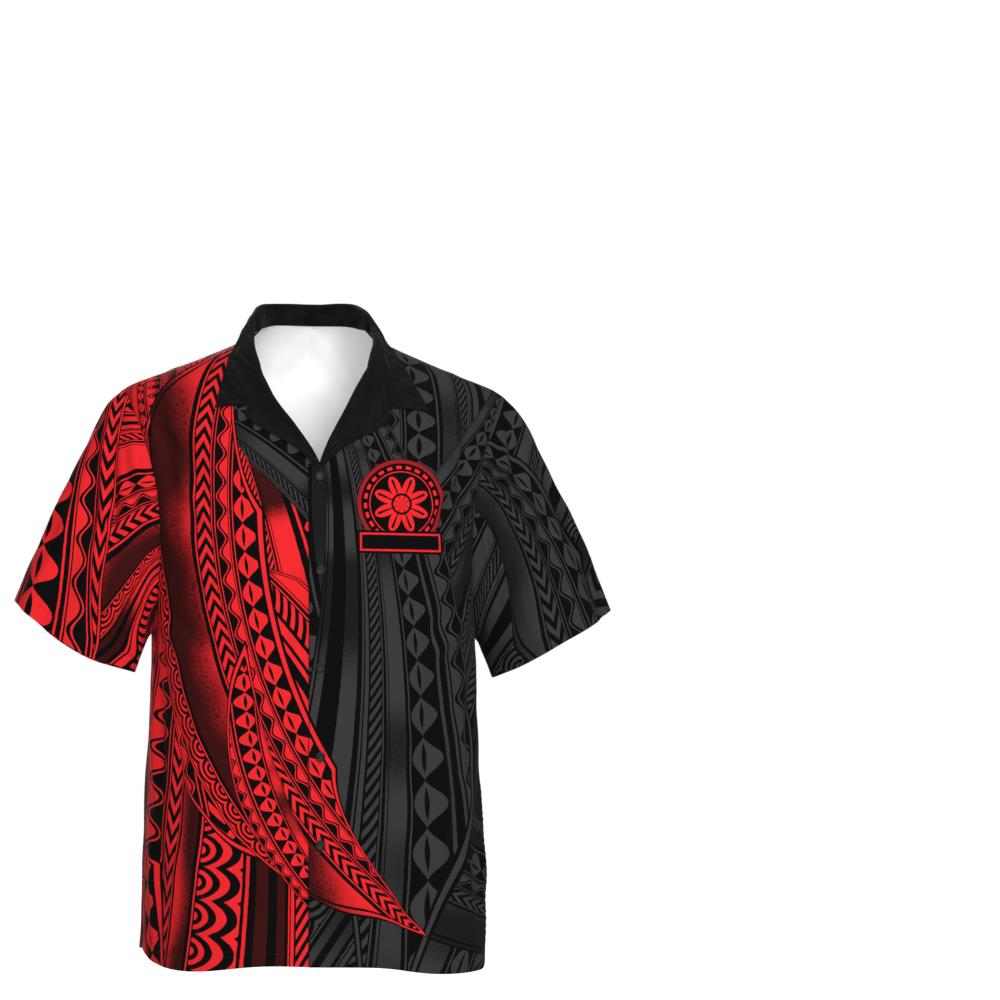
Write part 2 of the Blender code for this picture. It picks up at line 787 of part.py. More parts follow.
def collar_row(foot, run, hand, gorge):
    """One line of the collar: up the stand, over the fold and down the leaf."""
    notch = gorge[-1]
    pull = corner_pull(run)
    fold = collar_line(FOLD_LINE, hand, run)
    edge = collar_line(LEAF_EDGE, hand, run)
    gorge_normal = body_normal("front", *spots(ROLL_LINE, hand)[-1])
    bend = smoothstep(0.52, 0.8, run)
    outward = unit(np.array([fold[0], fold[1] + 8.0, 6.0]))
    outward = unit(outward + (gorge_normal - outward) * smoothstep(0.55, 1.0, run))
    lie = unit(edge + (notch - edge) * pull - fold)
    outward = unit(outward - lie * (outward @ lie))
    over = fold_path(fold, lie, outward, COLLAR_ROLL, ROLL_STEPS)
    inwards = unit(np.array([-foot[0], 20.0 - foot[1], 0.0]))
    inside = foot + inwards * (COLLAR_CLOTH / 2 + FOOT_GAP)
    stand = [inside + (over[0] - inside) * k / STAND_STEPS for k in range(STAND_STEPS)]
    upright = np.array(stand + over)
    turned = np.array(fold_path(fold, lie, outward, COLLAR_ROLL, STAND_STEPS + ROLL_STEPS))
    beside = foot - outward * CLOTH / 2 - lie * FOOT_GAP
    turned += beside - turned[0]
    swing = inwards * COLLAR_CLOTH / 2 * math.sin(math.pi * bend)
    row = list(upright + (turned - upright) * bend + swing)
    top = row[-1]
    gorge_top = gorge[-1 - LAPEL_STEPS]
    steps = LAPEL_STEPS + TIP_STEPS
    for k in range(1, steps + 1):
        straight = top + (edge - top) * k / steps + outward * LEAF_BELLY * math.sin(math.pi * k / steps)
        if k <= LAPEL_STEPS:
            corner = gorge[k - 1 - LAPEL_STEPS] + (top - gorge_top) * (1 - k / LAPEL_STEPS)
        else:
            corner = notch + (edge - notch) * (k - LAPEL_STEPS) / TIP_STEPS
        row.append(straight + (corner - straight) * pull)
    return np.array(row)


def collar_grid(neck, hand, gorge, tree):
    """Half of the collar, from centre back to the gorge, where its line is the lapel's own."""
    along = np.concatenate([[0], np.cumsum(np.linalg.norm(np.diff(neck, axis=0), axis=1))])
    shares = along / along[-1]
    shared = len(gorge)
    rows = [collar_row(point, run, hand, gorge) for point, run in zip(neck, shares)]
    mend = gorge - rows[-1][:shared]
    for row, run in zip(rows, shares):
        row[:shared] += mend * smoothstep(0.7, 1.0, run)
        first = shared if row is rows[-1] else STAND_STEPS + ROLL_STEPS
        clearance = LEAF_CLEARANCE + (LAPEL_CLEARANCE - LEAF_CLEARANCE) * corner_pull(run)
        for k in range(first, len(row)):
            row[k] = clear_of(tree, row[k], clearance + COLLAR_CLOTH / 2)
    return np.array(rows)


def clear_of(tree, point, clearance):
    """The point, moved out until it stands clear of the shell."""
    place, normal, _, _ = tree.find_nearest(Vector(point))
    away = (Vector(point) - place).dot(normal)
    if away >= clearance:
        return point
    return np.array(Vector(point) + normal * (clearance - away))


def build_turned(fronts, backs, shell):
    """The collar and both lapels as one surface, its faces numbered by piece."""
    bm = bmesh.new()
    for hand in (1, -1):
        tree = half_tree(shell, hand)
        neck_back = backs[hand][BODY_ROWS + YOKE_ROWS - NECK_BACK_ROWS :, 0]
        neck_front = fronts[hand][BODY_ROWS + CHEST_ROWS + ROLL_ROWS :, 0][::-1]
        lapel = lapel_grid(hand, tree)[::-1]
        collar = collar_grid(np.concatenate([neck_back, neck_front[1:]]), hand, lapel[0], tree)
        for grid, name in ((collar, "collar"), (lapel, f"lapel_{side_name(hand)}")):
            add_grid(bm, grid if hand > 0 else mirrored(grid), TURNED.index(name), hand < 0)
    bmesh.ops.remove_doubles(bm, verts=bm.verts, dist=0.01)
    mark_seams(bm)
    return bm


def half_tree(shell, hand):
    """The shell for distance queries, with the wanted side on the wearer's left."""
    bm = shell.copy()
    if hand < 0:
        bmesh.ops.scale(bm, verts=bm.verts, vec=(-1, 1, 1))
        bmesh.ops.reverse_faces(bm, faces=bm.faces)
    tree = BVHTree.FromBMesh(bm)
    bm.free()
    return tree


def build_button(number, height, finish):
    """A rimmed disc with a dished middle, on the left front."""
    normal = Vector(body_normal("front", 0.0, height))
    centre = Vector(on_body("front", 0.0, height)) + normal * SEAM_GAP
    bm = bmesh.new()
    profile = (
        (0.0, 0.0),
        (BUTTON_RADIUS - 0.5, 0.0),
        (BUTTON_RADIUS, 0.8),
        (BUTTON_RADIUS - 0.5, BUTTON_THICKNESS),
        (BUTTON_RADIUS - 1.7, BUTTON_THICKNESS),
        (BUTTON_RADIUS - 2.4, BUTTON_THICKNESS - 0.8),
        (0.0, BUTTON_THICKNESS - 0.9),
    )
    verts = [bm.verts.new((r, 0, z)) for r, z in profile]
    edges = [bm.edges.new(pair) for pair in zip(verts, verts[1:])]
    bmesh.ops.spin(
        bm,
        geom=verts + edges,
        cent=(0, 0, 0),
        axis=(0, 0, 1),
        angle=math.tau,
        steps=BUTTON_STEPS,
        use_merge=True,
    )
    bmesh.ops.remove_doubles(bm, verts=bm.verts, dist=0.001)
    bmesh.ops.recalc_face_normals(bm, faces=bm.faces)
    turn = normal.to_track_quat("Z", "Y").to_matrix().to_4x4()
    bmesh.ops.transform(bm, matrix=turn, verts=bm.verts)
    bmesh.ops.translate(bm, vec=centre, verts=bm.verts)
    return add_object(f"button_{number}", bm, finish)


def main():
    for old in list(bpy.data.objects):
        bpy.data.objects.remove(old)
    red = material("printed_cloth_red", (0.45, 0.02, 0.03), 0.75)
    charcoal = material("printed_cloth_charcoal", (0.03, 0.03, 0.03), 0.75)
    plain = material("plain_black_cloth", (0.012, 0.012, 0.012), 0.8)
    resin = material("black_resin", (0.01, 0.01, 0.01), 0.35)
    shell, fronts, backs = build_shell()
    turned = build_turned(fronts, backs, shell)
    for name in PANELS:
        printed = charcoal if name.endswith("left") else red
        cut_panel(shell, PANELS, name, 0.0, CLOTH, SEAM_GAP, printed)
    for name in TURNED:
        cut_panel(turned, TURNED, name, COLLAR_CLOTH / 2, COLLAR_CLOTH / 2, GORGE_GAP, plain)
    for number, height in enumerate(BUTTON_HEIGHTS, start=1):
        build_button(number, height, resin)


main()
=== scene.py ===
"""Looks of the short-sleeved camp-collar shirt: printed cloth shells, collar, lapels, buttons and stitching.

The shirt is laid out once as a form of level sections, in millimetres. Every cloth shell is a fine patch
of that form with its folds, its hem and its print. X runs to the wearer's left, Y to the wearer's back.
"""

import logging
import math
import random
from dataclasses import dataclass, field
from enum import Enum
from typing import Callable, NamedTuple, Optional, Sequence, Union

import bmesh
import bpy
import numpy as np
from mathutils import Matrix, Vector
from mathutils.bvhtree import BVHTree


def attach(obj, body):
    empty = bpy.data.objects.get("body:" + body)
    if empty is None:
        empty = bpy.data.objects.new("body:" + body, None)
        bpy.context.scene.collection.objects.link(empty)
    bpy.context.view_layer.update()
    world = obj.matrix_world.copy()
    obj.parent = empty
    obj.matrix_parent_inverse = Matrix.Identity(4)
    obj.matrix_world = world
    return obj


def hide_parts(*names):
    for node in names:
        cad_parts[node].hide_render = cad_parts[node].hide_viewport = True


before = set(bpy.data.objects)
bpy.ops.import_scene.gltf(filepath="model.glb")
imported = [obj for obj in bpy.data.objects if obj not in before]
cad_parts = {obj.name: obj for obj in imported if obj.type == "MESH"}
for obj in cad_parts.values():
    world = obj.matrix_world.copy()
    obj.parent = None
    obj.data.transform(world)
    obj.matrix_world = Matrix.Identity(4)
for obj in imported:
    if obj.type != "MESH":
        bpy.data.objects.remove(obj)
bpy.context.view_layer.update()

LOG = logging.getLogger("shirt")
MM = 0.001
BODY = "root"
Array = np.ndarray
Number = Union[float, Array]
Colour = tuple[float, float, float, float]
Feed = Union[bpy.types.NodeSocket, float, Sequence[float]]


class Hand(Enum):
    """The wearer's side that a piece lies on."""

    LEFT = 1
    RIGHT = -1

    @property
    def label(self) -> str:
        """The side's word in piece names."""
        return self.name.lower()


class Face(Enum):
    """The front or the back of the body."""

    FRONT = "front"
    BACK = "back"

    @property
    def towards(self) -> float:
        """Which way along Y this face lies."""
        return -1.0 if self is Face.FRONT else 1.0


class Section(NamedTuple):
    """A level section of the body.

    Attributes:
        height: Its height.
        half_width: Half its width.
        front: How far it reaches forward.
        back: How far it reaches back.
    """

    height: float
    half_width: float
    front: float
    back: float


class HemPoint(NamedTuple):
    """A point of the hem, by its share of the way from the centre to the side seam.

    Attributes:
        share: The share.
        front: Height of the front hem there.
        back: Height of the back's.
    """

    share: float
    front: float
    back: float


class Spot(NamedTuple):
    """A point of a line drawn on a panel, seen from the front.

    Attributes:
        out: Distance from the centre line.
        height: Its height.
    """

    out: float
    height: float


class EdgeSpot(NamedTuple):
    """A point of a line drawn on both fronts: how far out it lies on the wearer's left and right.

    Attributes:
        height: Its height.
        left: Distance out on the wearer's left.
        right: Distance out on the right.
    """

    height: float
    left: float
    right: float


class CollarPoint(NamedTuple):
    """A point of a collar line, by its share of the way from centre back to the gorge.

    Attributes:
        share: The share.
        left: Distance out on the wearer's left.
        right: Distance out on the right.
        back: How far behind the neck points it lies.
        height: Its height.
    """

    share: float
    left: float
    right: float
    back: float
    height: float


class ArmStation(NamedTuple):
    """A station of the sleeve: its upper and lower edge, seen from the front, and half its depth.

    Attributes:
        share: Share of the way from the armhole to the cuff.
        top_out: Distance out of the upper edge.
        top_height: Height of the upper edge.
        low_out: Distance out of the lower edge.
        low_height: Height of the lower edge.
        half_depth: Half the depth.
        forward: How far forward the middle lies.
    """

    share: float
    top_out: float
    top_height: float
    low_out: float
    low_height: float
    half_depth: float
    forward: float


class Flute(NamedTuple):
    """A soft wave of the body that opens towards the hem, by degrees from the centre front.

    Attributes:
        degrees: Its angle.
        spread: Half its width, in degrees.
        lift: Its height; below zero it is a trough.
        top: Height on the body at which it starts.
    """

    degrees: float
    spread: float
    lift: float
    top: float


class Crease(NamedTuple):
    """A broad ridge or trough of a body panel, seen from the front.

    Attributes:
        face: The front or the back.
        hand: 1 for the wearer's left half, -1 for the right.
        start: Its upper end.
        end: Its lower end.
        spread: Half its width.
        lift: Its height; below zero it is a trough.
    """

    face: Face
    hand: int
    start: Spot
    end: Spot
    spread: float
    lift: float


class SleeveFold(NamedTuple):
    """A broad fold down a sleeve, by its turn from the top edge towards the front, in degrees.

    Attributes:
        hand: 1 for the wearer's left sleeve, -1 for the right.
        degrees: The turn.
        spread: Half its width, in degrees.
        lift: Its height; below zero it is a trough.
        start: Share of the sleeve at which it starts.
        peak: Share at which it is full.
    """

    hand: int
    degrees: float
    spread: float
    lift: float
    start: float
    peak: float


def hermite(t: Number, span: float, start: Number, leaving: Number, end: Number, arriving: Number) -> Number:
    """Reads a smooth curve between two of its points.

    Args:
        t: Share of the way from the first point to the second.
        span: Distance between them.
        start: The first point.
        leaving: Slope there.
        end: The second point.
        arriving: Slope there.

    Returns:
        The value at t.
    """
    return (
        (2 * t**3 - 3 * t**2 + 1) * start
        + (t**3 - 2 * t**2 + t) * span * leaving
        + (3 * t**2 - 2 * t**3) * end
        + (t**3 - t**2) * span * arriving
    )


def smooth_line(rows: Sequence[NamedTuple], knot: str, value: str) -> Callable[[float], float]:
    """Makes a smooth function through one column of a table.

    Args:
        rows: The table.
        knot: The column that is the variable.
        value: The column that the function gives.

    Returns:
        The function, held level past both ends of the table.
    """
    xs = np.array([getattr(row, knot) for row in rows], float)
    ys = np.array([getattr(row, value) for row in rows], float)
    if xs[0] > xs[-1]:
        xs, ys = xs[::-1], ys[::-1]
    slopes = np.gradient(ys, xs)

    def at(x: float) -> float:
        """The smooth value at x.

        Args:
            x: Value of the knot's column.

        Returns:
            The value there.
        """
        x = min(max(x, xs[0]), xs[-1])
        i = min(int(np.searchsorted(xs, x, side="right")) - 1, len(xs) - 2)
        span = xs[i + 1] - xs[i]
        t = (x - xs[i]) / span
        return hermite(t, span, ys[i], slopes[i], ys[i + 1], slopes[i + 1])

    return at


def smoothstep(low: float, high: float, x: Number) -> Number:
    """Rises softly from 0 at low to 1 at high, for a number or an array.

    Args:
        low: Where the rise starts.
        high: Where it ends.
        x: Where it is read.

    Returns:
        The rise there.
    """
    t = np.clip((x - low) / (high - low), 0.0, 1.0)
    return t * t * (3 - 2 * t)


def unit(vector: Array) -> Array:
    """The vector at length one."""
    return vector / max(float(np.linalg.norm(vector)), 1e-9)


def lengths_along(points: Array) -> Array:
    """Length along a polyline at each of its points."""
    return np.concatenate([[0], np.cumsum(np.linalg.norm(np.diff(points, axis=0), axis=1))])


def evenly(points: Sequence, count: int) -> Array:
    """The polyline again with this many equal steps.

    Args:
        points: The polyline's points.
        count: How many steps to give.

    Returns:
        The points of the steps, one a row.
    """
    points = np.asarray(points, float)
    along = lengths_along(points)
    at = np.linspace(0, along[-1], count + 1)
    return np.stack([np.interp(at, along, points[:, k]) for k in range(points.shape[1])], axis=1)


def through(spots: Sequence, count: int, fine: int = 12) -> Array:
    """Equal steps along the smooth line through these spots.

    Args:
        spots: The points that the line passes.
        count: How many steps to give.
        fine: Points read between two spots before the steps are made equal.

    Returns:
        The points of the steps, one a row.
    """
    spots = np.array(spots, float)
    chord = lengths_along(spots)
    slopes = np.gradient(spots, chord, axis=0)
    line = []
    for i in range(len(spots) - 1):
        span = chord[i + 1] - chord[i]
        for t in np.linspace(0, 1, fine, endpoint=i == len(spots) - 2):
            line.append(hermite(t, span, spots[i], slopes[i], spots[i + 1], slopes[i + 1]))
    return evenly(line, count)


def mirrored(grid: Array) -> Array:
    """The points on the wearer's other side."""
    return grid * np.array([-1.0, 1.0, 1.0])


CLOTH_MAP = "cloth"

# How the shirt hangs: its drop over the wearer's left, as a share of the width.
LEAN = 0.015

# Where the lapels break away from the front's edge, and where the neckline meets the shoulders.
BREAK = -136.0
NECK_POINT = (72.0, 5.0)

# Radius of the collar's fold, and of the lapels' where they start.
COLLAR_ROLL = 3.2
LAPEL_ROLL_START = 2.0

# Distances out between which the body comes out from under the collar.
COLLAR_SIDE = (118, 150)

# Over what length a sewn edge rolls in, and a panel follows an edge that is drawn onto another.
SEAM_REACH = 4.5
JOIN_REACH = 8.0

# Over how many coarse lines an edge's corner is smoothed out, and how close merged points lie, in metres.
CORNER_FADE = 1.2
MERGE_REACH = 0.000002

# The hem's groove, its stitches' distance from the turned-in edge, and how deep they lie in the cloth.
HEM_GROOVE = 0.3
HEM_STITCH = 2.5
SUNK_THREAD = -0.22

SECTIONS = (
    Section(-760, 198.0, 129, 121),
    Section(-620, 195.0, 127, 117),
    Section(-500, 191.0, 126, 113),
    Section(-400, 187.0, 129, 116),
    Section(-335, 186.0, 131, 120),
    Section(-280, 187.5, 131, 123),
    Section(-200, 197.0, 124, 123),
    Section(-130, 209.0, 111, 117),
    Section(-50, 225.0, 88, 101),
    Section(0, 235.0, 74, 90),
    Section(40, 245.0, 62, 78),
)

HEM = (
    HemPoint(0.00, -712, -712),
    HemPoint(0.25, -712, -711),
    HemPoint(0.50, -719, -707),
    HemPoint(0.70, -717, -702),
    HemPoint(0.86, -711, -699),
    HemPoint(1.00, -697, -697),
)
HEM_LEVEL = -710.0

SHOULDER_LINE = (
    Spot(0, 50),
    Spot(36, 40),
    Spot(60, 18),
    Spot(72, 5),
    Spot(90, -4),
    Spot(130, -21),
    Spot(170, -37),
    Spot(204, -50),
    Spot(240, -66),
)

ROLL_LINE = (
    EdgeSpot(-138.5, 0.9, 0.9),
    EdgeSpot(-116, 10.5, 15),
    EdgeSpot(-79, 30.5, 43),
    EdgeSpot(-50, 45.5, 58.5),
    EdgeSpot(-31, 57, 64.5),
)
NECK_FRONT = (
    EdgeSpot(-31, 57, 64.5),
    EdgeSpot(-15, 64, 70.5),
    EdgeSpot(-3, 69, 72),
    EdgeSpot(NECK_POINT[1], NECK_POINT[0], NECK_POINT[0]),
)
LAPEL_EDGE = (Spot(4.5, -144.5), Spot(28, -124), Spot(53, -109.5), Spot(73, -98), Spot(83, -88.5))
NECK_BACK = (Spot(0, 21.5), Spot(22, 21.5), Spot(40, 21), Spot(54, 18), Spot(65, 12.5), Spot(*NECK_POINT))
NOTCH = EdgeSpot(-77, 77.5, 79.5)

FOLD_LINE = (
    CollarPoint(0.00, 0, 0, 60, 46),
    CollarPoint(0.18, 36, 36, 57, 46),
    CollarPoint(0.34, 52, 54, 43, 44),
    CollarPoint(0.48, 60.5, 62.5, 22, 37),
    CollarPoint(0.60, 65.5, 69, 1, 25),
    CollarPoint(0.75, 65.5, 71.5, -25, 4),
    CollarPoint(0.88, 63, 71, -48, -13),
    CollarPoint(1.00, 57, 64.5, -67, -29),
)
LEAF_EDGE = (
    CollarPoint(0.00, 0, 0, 75, 14),
    CollarPoint(0.18, 41, 41, 73, 13),
    CollarPoint(0.34, 60, 61, 54, 10),
    CollarPoint(0.48, 72, 74, 24, 6),
    CollarPoint(0.60, 79, 85, -4, 3),
    CollarPoint(0.75, 93, 96, -34, -19),
    CollarPoint(0.88, 110, 106, -58, -50),
    CollarPoint(1.00, 127, 115, -77, -81),
)
SLEEVE = (
    ArmStation(0.00, 204, -50, 186.0, -335, 62, 0),
    ArmStation(0.04, 214, -56, 187.2, -338, 62, 0),
    ArmStation(0.12, 232, -76, 189.5, -342, 62, 1),
    ArmStation(0.28, 257, -117, 193.0, -350, 61, 2),
    ArmStation(0.50, 289, -179, 197.0, -360, 58, 4),
    ArmStation(0.75, 318, -243, 201.0, -371, 54, 6),
    ArmStation(1.00, 343, -302, 205.0, -382, 51, 8),
)
FLUTES = (
    Flute(-158, 11, 6.0, -420),
    Flute(-128, 9, -6.5, -380),
    Flute(-104, 8, 5.5, -430),
    Flute(-74, 9, -5.5, -400),
    Flute(-52, 8, 4.5, -470),
    Flute(-22, 9, -4.5, -500),
    Flute(20, 9, 4.0, -520),
    Flute(44, 8, -5.0, -450),
    Flute(70, 9, 5.5, -400),
    Flute(99, 8, -6.0, -420),
    Flute(124, 9, 6.5, -370),
    Flute(150, 9, -6.5, -400),
    Flute(176, 8, 4.5, -450),
)

CREASES = (
    Crease(Face.FRONT, -1, Spot(172, -95), Spot(135, -190), 15, -5.0),
    Crease(Face.FRONT, -1, Spot(158, -215), Spot(112, -300), 18, 4.5),
    Crease(Face.FRONT, 1, Spot(176, -110), Spot(140, -210), 15, -4.5),
    Crease(Face.FRONT, 1, Spot(158, -250), Spot(108, -330), 18, 4.5),
    Crease(Face.FRONT, -1, Spot(150, -395), Spot(95, -520), 22, 4.0),
    Crease(Face.FRONT, 1, Spot(152, -410), Spot(100, -500), 22, -4.0),
    Crease(Face.BACK, -1, Spot(160, -130), Spot(120, -260), 20, -6.0),
    Crease(Face.BACK, 1, Spot(160, -140), Spot(125, -280), 20, -6.0),
    Crease(Face.BACK, -1, Spot(150, -300), Spot(80, -390), 24, 5.0),
    Crease(Face.BACK, 1, Spot(150, -320), Spot(85, -430), 24, 5.0),
)

SLEEVE_FOLDS = (
    SleeveFold(-1, 38, 11, 5.5, 0.05, 0.45),
    SleeveFold(-1, 62, 11, -6.0, 0.05, 0.50),
    SleeveFold(-1, 100, 14, 5.0, 0.25, 0.80),
    SleeveFold(-1, 138, 13, -6.0, 0.20, 0.70),
    SleeveFold(-1, -55, 14, -5.5, 0.10, 0.60),
    SleeveFold(-1, -110, 15, 5.0, 0.20, 0.80),
    SleeveFold(1, 30, 10, -5.5, 0.05, 0.40),
    SleeveFold(1, 54, 11, 6.0, 0.05, 0.45),
    SleeveFold(1, 84, 12, -5.5, 0.10, 0.60),
    SleeveFold(1, 125, 14, 5.0, 0.25, 0.80),
    SleeveFold(1, -50, 14, 5.0, 0.10, 0.50),
    SleeveFold(1, -105, 15, -5.5, 0.20, 0.80),
)


@dataclass
class ShirtForm:
    """The plain form of the filled-out shirt, in millimetres: its sections, edges and panel points.

    Attributes:
        cloth: Wall of the solid panels that the looks stand for.
        seam_gap: Distance between two panels at a seam.
        overlap: Each front edge past the centre front.
        drop: How far the right front lies behind the left one.
        drop_hold: The right front keeps that depth to here.
        drop_end: It has rejoined the chest here.
        underarm: Height of the underarm points.
        front_corner: Height at which the front's edge turns into the roll line.
        shoulder_point: Distance out and height of the shoulder's end.
        armhole_reach: Largest depth of the armhole's edge, by face.
        squareness: Exponent of the sections' outline, by face.
        shoulder_drop: Height over which the surface rounds off to the shoulder seam, by face.
        cuff_dip: How far the cuff bows out between its corners, by hand.
        seam_fade: Creases die out over this length towards a seam.
        body_rows: Coarse rows from the hem to the underarm.
        chest_rows: Coarse rows from the underarm to the roll line.
        roll_rows: Coarse rows along the roll line.
        neck_front_rows: Coarse rows along the front's neckline.
        neck_back_rows: Coarse rows along the back's neckline.
        columns: Coarse columns of a half panel.
        rings: Coarse rings of a sleeve.
    """

    cloth: float = 1.6
    seam_gap: float = 0.45
    overlap: float = 12.5
    drop: float = 2.1
    drop_hold: float = 26.0
    drop_end: float = 66.0
    underarm: float = -335.0
    front_corner: float = -143.0
    shoulder_point: tuple[float, float] = (204.0, -50.0)
    armhole_reach: dict[Face, float] = field(default_factory=lambda: {Face.FRONT: 62.0, Face.BACK: 60.0})
    squareness: dict[Face, float] = field(default_factory=lambda: {Face.FRONT: 2.4, Face.BACK: 2.6})
    shoulder_drop: dict[Face, float] = field(default_factory=lambda: {Face.FRONT: 110.0, Face.BACK: 80.0})
    cuff_dip: dict[int, float] = field(default_factory=lambda: {1: 4.0, -1: 13.0})
    seam_fade: float = 26.0
    body_rows: int = 10
    chest_rows: int = 4
    roll_rows: int = 8
    neck_front_rows: int = 6
    neck_back_rows: int = 8
    columns: int = 14
    rings: int = 11

    def __post_init__(self) -> None:
        """Reads the tables into smooth functions."""
        self.yoke_rows = self.chest_rows + self.roll_rows + self.neck_front_rows
        self.half_width = smooth_line(SECTIONS, "height", "half_width")
        self.depth_at = {face: smooth_line(SECTIONS, "height", face.value) for face in Face}
        self.shoulder = smooth_line(SHOULDER_LINE, "out", "height")
        self.hem = {face: smooth_line(HEM, "share", face.value) for face in Face}
        self.station = {name: smooth_line(SLEEVE, "share", name) for name in ArmStation._fields[1:]}
        self.cut_tables = {face: self.cut_table(face) for face in Face}

    def depth(self, face: Face, out: float, height: float) -> float:
        """How far the surface stands off the shoulder seams' plane.

        Args:
            face: The front or the back.
            out: Distance from the centre line, seen from the front.
            height: Height over the origin.

        Returns:
            The distance.
        """
        n = self.squareness[face]
        share = min(abs(out) / self.half_width(height), 1.0)
        section = self.depth_at[face](height) * (1 - share**n) ** (1 / n)
        below = max(self.shoulder(abs(out)) - height, 0.0)
        rounding = 1 - min(below / self.shoulder_drop[face], 1.0)
        return section * math.sqrt(1 - rounding**2)

    def cut_table(self, face: Face, step: float = 8.0, count: int = 60) -> tuple[Array, Array, Array, Array]:
        """Lengths over the plain surface that flatten it: across from the centre line, up from the underarm.

        Args:
            face: Front or back.
            step: Distance between the table's heights.
            count: Its steps across.

        Returns:
            The heights, the half widths, and the two tables of lengths.
        """
        heights = self.underarm + step * np.arange(-54, 50)
        widths = np.array([self.half_width(height) for height in heights])
        outs = widths[:, None] * np.sin(np.linspace(0, math.pi / 2, count + 1))
        depths = np.array([[self.depth(face, out, z) for out in row] for row, z in zip(outs, heights)])
        points = np.stack([outs, depths, np.repeat(heights[:, None], count + 1, axis=1)], axis=-1)
        up = run_length(points, 0)
        return heights, widths, run_length(points, 1), up - up[54] + self.underarm

    def cut_places(self, face: Face, points: Array) -> Array:
        """Where points of the plain surface lie on the flat cut, in millimetres.

        Args:
            face: The front or the back.
            points: Points of the plain surface.

        Returns:
            For each point its place across and up the cut.
        """
        heights, widths, across, along = self.cut_tables[face]
        level = np.clip((points[..., 2] - heights[0]) / (heights[1] - heights[0]), 0, len(heights) - 1.001)
        out = np.abs(points[..., 0]) / np.interp(points[..., 2], heights, widths)
        turn = np.arcsin(np.clip(out, 0, 1)) / (math.pi / 2) * (across.shape[1] - 1.001)
        i, j = level.astype(int), turn.astype(int)
        s, t = level - i, turn - j
        made = [
            (table[i, j] * (1 - t) + table[i, j + 1] * t) * (1 - s)
            + (table[i + 1, j] * (1 - t) + table[i + 1, j + 1] * t) * s
            for table in (across, along)
        ]
        return np.stack([made[0] * np.sign(points[..., 0]), made[1]], axis=-1)

    def fluting(self, angle: float, height: float) -> float:
        """How far the hem's waves push the body outwards at this angle from the centre front.

        Args:
            angle: Degrees from the centre front towards the wearer's left.
            height: Height over the origin.

        Returns:
            The push.
        """
        push = 0.0
        for flute in FLUTES:
            turn = (angle - flute.degrees + 180) % 360 - 180
            opened = smoothstep(flute.top, HEM_LEVEL, height)
            push += flute.lift * math.exp(-((turn / flute.spread) ** 2)) * opened
        return push

    def on_body(self, face: Face, out: float, height: float) -> Array:
        """The point of the body's surface at this place, seen from the front.

        Args:
            face: The front or the back.
            out: Distance from the centre line, seen from the front.
            height: Height over the origin.

        Returns:
            The point.
        """
        point = np.array([out, face.towards * self.depth(face, out, height), height])
        angle = math.degrees(math.atan2(point[0], -point[1]))
        radial = np.array([point[0], point[1], 0.0])
        return point + radial / max(np.linalg.norm(radial), 1e-6) * self.fluting(angle, height)

    def normal(self, face: Face, out: float, height: float, step: float = 0.5) -> Array:
        """The outward normal of the body's surface.

        Args:
            face: The front or the back.
            out: Distance from the centre line, seen from the front.
            height: Height over the origin.
            step: How far from the place the surface is read.

        Returns:
            The normal, at length one.
        """
        across = self.on_body(face, out + step, height) - self.on_body(face, out - step, height)
        upwards = self.on_body(face, out, height + step) - self.on_body(face, out, height - step)
        return unit(np.cross(across, upwards)) * -face.towards

    def armhole(self, face: Face, turn: float) -> Spot:
        """The armhole's edge at this turn from the shoulder point (0) to the underarm (pi).

        Args:
            face: The front or the back.
            turn: The turn, in radians.

        Returns:
            The spot, on the wearer's left.
        """
        share = (1 - math.cos(turn)) / 2
        top = self.shoulder_point[1]
        height = top + (self.underarm - top) * share
        wanted = self.armhole_reach[face] * max(math.sin(turn), 0.0) ** (2.0 - 1.1 * share)
        low, high = 0.0, self.half_width(height)
        for _ in range(40):
            middle = (low + high) / 2
            if self.depth(face, middle, height) > wanted:
                low = middle
            else:
                high = middle
        return Spot(low, height)

    def spots(self, rows: Sequence[EdgeSpot], hand: int) -> list[Spot]:
        """The line's spots on one front."""
        name = Hand(hand).label
        return [Spot(getattr(row, name), row.height) for row in rows]

    def lapel_roll(self, share: float) -> float:
        """Radius of the lapel's fold, by the share of the way up the roll line."""
        return LAPEL_ROLL_START + (COLLAR_ROLL - LAPEL_ROLL_START) * float(smoothstep(0, 0.35, share))

    def body_heights(self, hem: float) -> list[float]:
        """Heights of the rows from this height of the hem to the underarm, which isn't one of them."""
        return [hem + (self.underarm - hem) * r / self.body_rows for r in range(self.body_rows)]

    def inner_edge_front(self, hand: int) -> list[Spot]:
        """The front's inner edge from the hem to the neck point, one spot a row.

        Args:
            hand: 1 for the wearer's left, -1 for the right.

        Returns:
            The spots, laid out on the wearer's left.
        """
        opening = [Spot(-self.overlap, z) for z in self.body_heights(self.hem[Face.FRONT](0))]
        rise = (self.front_corner - self.underarm) / (self.chest_rows - 1)
        chest = [Spot(-self.overlap, self.underarm + rise * r) for r in range(self.chest_rows)]
        roll = through(self.spots(ROLL_LINE, hand), self.roll_rows)
        direction = np.gradient(roll, axis=0)
        away = np.stack([direction[:, 1], -direction[:, 0]], axis=1)
        away /= np.linalg.norm(away, axis=1)[:, None]
        widths = np.array([self.lapel_roll(k / self.roll_rows) for k in range(self.roll_rows + 1)])
        parted = roll + away * (widths[:, None] + self.seam_gap)
        neck = through(self.spots(NECK_FRONT, hand), self.neck_front_rows)
        neck += (parted[-1] - roll[-1]) * np.linspace(1, 0, self.neck_front_rows + 1)[:, None] ** 2
        return opening + chest + [Spot(*p) for p in parted] + [Spot(*p) for p in neck[1:]]

